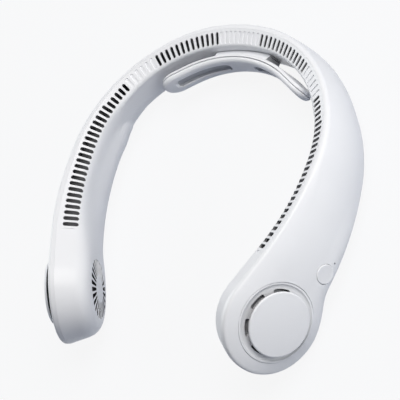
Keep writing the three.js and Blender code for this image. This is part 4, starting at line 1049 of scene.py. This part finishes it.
def cushion_front(x, z):
    """Crowned front: a rounded rim, a low crown, and a recess with sloped walls each side of the middle,
    whose upper lip is broader."""
    d = pill_distance(x, z, 0, PAD_LENGTH, PAD_HALF)
    full = CUSHION_THICK - CUSHION_CROWN * (z / PAD_HALF) ** 2
    lip = mix(RECESS_LOW_LIP, RECESS_LIP, ease(z, 0, RECESS_HEIGHT / 2))
    sunk = RECESS_DEPTH * ease(recess(x, z), -lip, RECESS_WALL)
    return CUSHION_RIM + (full - CUSHION_RIM_LESS) * rim_round(d, CUSHION_ROUND) - sunk


def cushion_back(x, z):
    """Flat back, chamfered at the rim so that a groove shows between the cushion and the plate."""
    d = pill_distance(x, z, 0, PAD_LENGTH, PAD_HALF)
    return CUSHION_SEAT + GROOVE_DEPTH * (1 - rim_round(d, GROOVE_ROUND))


# The recesses' faces take a mid grey, painted shade for the shadow in them.
cushion = pad_bar("neck_pad_cushion_form", PAD_LENGTH, PAD_HALF, cushion_front, cushion_back, recess)
pad_silicone = moulded("pad_silicone", (0.84, 0.85, 0.88), (0.81, 0.82, 0.85), 0.55, grain=1500, bump=0.05)
recess_painted_shade = moulded("recess_painted_shade", (0.47, 0.48, 0.51), (0.44, 0.45, 0.48), 0.6, grain=1500, bump=0.05)
dress(cushion, "band", "soft_pad", ["neck_pad_cushion"], pad_silicone, recess_painted_shade)


def plate_back(x, z):
    """Back of the plate, with a rounded rim."""
    d = pill_distance(x, z, 0, PAD_LENGTH, PAD_HALF)
    return -PLATE_EDGE - (PLATE_THICK - PLATE_EDGE) * rim_round(d, PLATE_ROUND)


def plate_front(x, z):
    """Flat front, where the cushion is glued."""
    return 0 * (x + z)


plate = pad_bar("neck_pad_plate_form", PAD_LENGTH, PAD_HALF, plate_front, plate_back)
dress(plate, "band", "white_trim", ["neck_pad_plate"], satin_white)
SHADED_END_FACING = 0.6
bracket = frame["nodes"]["neck_pad_bracket"].data
bracket.materials.append(black_and_painted_shade)
bracket.materials.append(painted_shade_lining)
corners = np.array([vertex.co for vertex in bracket.vertices])
bracket_middle = Vector((corners.min(0) + corners.max(0)) / 2)
# Painted shade on the bracket: its hollow inside takes the near black, its end faces the grey painted shade.
for polygon in bracket.polygons:
    inwards = (polygon.center - bracket_middle).dot(polygon.normal) < 0
    shaded_end = abs(polygon.normal.x) > SHADED_END_FACING
    polygon.material_index = 1 if inwards else 2 * shaded_end

# Table: a wide plain pale surface for the fan to lie on, and a white room round it. Both show as near white
# to the camera and in reflections, and the table keeps a faint shadow. Three square lamps light it softly.
FLOOR_HALF = 6.0
TABLE_COLOUR = (0.41, 0.45, 0.54, 1)
TABLE_GLOW = 0.9
ROOM_WHITE = (0.936, 0.945, 0.955, 1)
ROOM_SHADE = (0.01, 0.015, 0.04, 1)
LAMP_SIZE = 0.7
LAMP_AIM = Vector((0, 0, 0.02))
floor_points = FLOOR_HALF * np.array([[-1, -1, 0], [1, -1, 0], [1, 1, 0], [-1, 1, 0]], float)
floor_mesh = bpy.data.meshes.new("table")
floor_mesh.from_pydata(floor_points.tolist(), [], [(0, 1, 2, 3)])
floor = bpy.data.objects.new("table", floor_mesh)
bpy.context.scene.collection.objects.link(floor)


def seen_ray(tree):
    """Socket that is 1 for camera, glossy and transmission rays and 0 for the rest."""
    ray = tree.nodes.new("ShaderNodeLightPath")
    seen = ray.outputs["Is Camera Ray"]
    for kind in ("Is Glossy Ray", "Is Transmission Ray"):
        either = tree.nodes.new("ShaderNodeMath")
        either.operation = "MAXIMUM"
        tree.links.new(seen, either.inputs[0])
        tree.links.new(ray.outputs[kind], either.inputs[1])
        seen = either.outputs["Value"]
    return seen


def between_rays(tree, unseen, seen):
    """Socket with one value for the rays that light the scene and another for those that show it."""
    level = tree.nodes.new("ShaderNodeMapRange")
    level.inputs["To Min"].default_value = unseen
    level.inputs["To Max"].default_value = seen
    tree.links.new(seen_ray(tree), level.inputs["Value"])
    return level.outputs["Result"]


table_white = bpy.data.materials.new("table_white")
table_white.use_nodes = True
tree = table_white.node_tree
tree.nodes.remove(tree.nodes["Principled BSDF"])
cloth, glow = tree.nodes.new("ShaderNodeBsdfDiffuse"), tree.nodes.new("ShaderNodeEmission")
cloth.inputs["Color"].default_value = TABLE_COLOUR
glow.inputs["Strength"].default_value = 1
blend = tree.nodes.new("ShaderNodeMixShader")
tree.links.new(between_rays(tree, 0, TABLE_GLOW), blend.inputs["Fac"])
tree.links.new(cloth.outputs["BSDF"], blend.inputs[1])
tree.links.new(glow.outputs["Emission"], blend.inputs[2])
tree.links.new(blend.outputs["Shader"], tree.nodes["Material Output"].inputs["Surface"])
floor.data.materials.append(table_white)

room = bpy.data.worlds.new("white_room")
bpy.context.scene.world = room
room.use_nodes = True
sky = room.node_tree.nodes["Background"]
shade = room.node_tree.nodes.new("ShaderNodeMix")
shade.data_type = "RGBA"
shade.inputs["A"].default_value = ROOM_SHADE
shade.inputs["B"].default_value = ROOM_WHITE
sky.inputs["Strength"].default_value = 1
room.node_tree.links.new(seen_ray(room.node_tree), shade.inputs["Factor"])
room.node_tree.links.new(shade.outputs["Result"], sky.inputs["Color"])


def softbox(name, place_at, colour, power):
    """A square area lamp at a place, facing the fan."""
    lamp = bpy.data.lights.new(name, "AREA")
    lamp.size = LAMP_SIZE
    lamp.color = colour
    lamp.energy = power
    box = bpy.data.objects.new(name, lamp)
    box.location = place_at
    box.rotation_euler = (LAMP_AIM - Vector(place_at)).to_track_quat("-Z", "Y").to_euler()
    bpy.context.scene.collection.objects.link(box)


softbox("key_softbox", (0.354, 0.354, 0.886), (1, 0.98, 0.94), 10.3)
softbox("right_softbox", (0.966, 0, 0.279), (1, 1, 0.96), 3.4)
softbox("left_softbox", (-0.966, 0, 0.279), (0.96, 1, 0.98), 5.4)

# Camera: a long lens looking down on the fan from its button side, rolled so that the bulbs hang at the
# bottom of the picture.
CAMERA_PLACE = (0.67984, -0.25671, 0.91279)
CAMERA_AIM = (-0.01216, -0.00206, 0.00873)
CAMERA_ROLL = math.radians(-58.918)
LENS = 183.85
SENSOR_WIDTH = 36
lens = bpy.data.cameras.new("camera")
lens.lens = LENS
lens.sensor_width = SENSOR_WIDTH
camera = bpy.data.objects.new("camera", lens)
sight = (Vector(CAMERA_AIM) - Vector(CAMERA_PLACE)).to_track_quat("-Z", "Y")
camera.rotation_euler = (sight.to_matrix() @ Matrix.Rotation(CAMERA_ROLL, 3, "Z")).to_euler()
camera.location = CAMERA_PLACE
bpy.context.scene.collection.objects.link(camera)
bpy.context.scene.camera = camera
bpy.context.scene.view_settings.view_transform = "Standard"
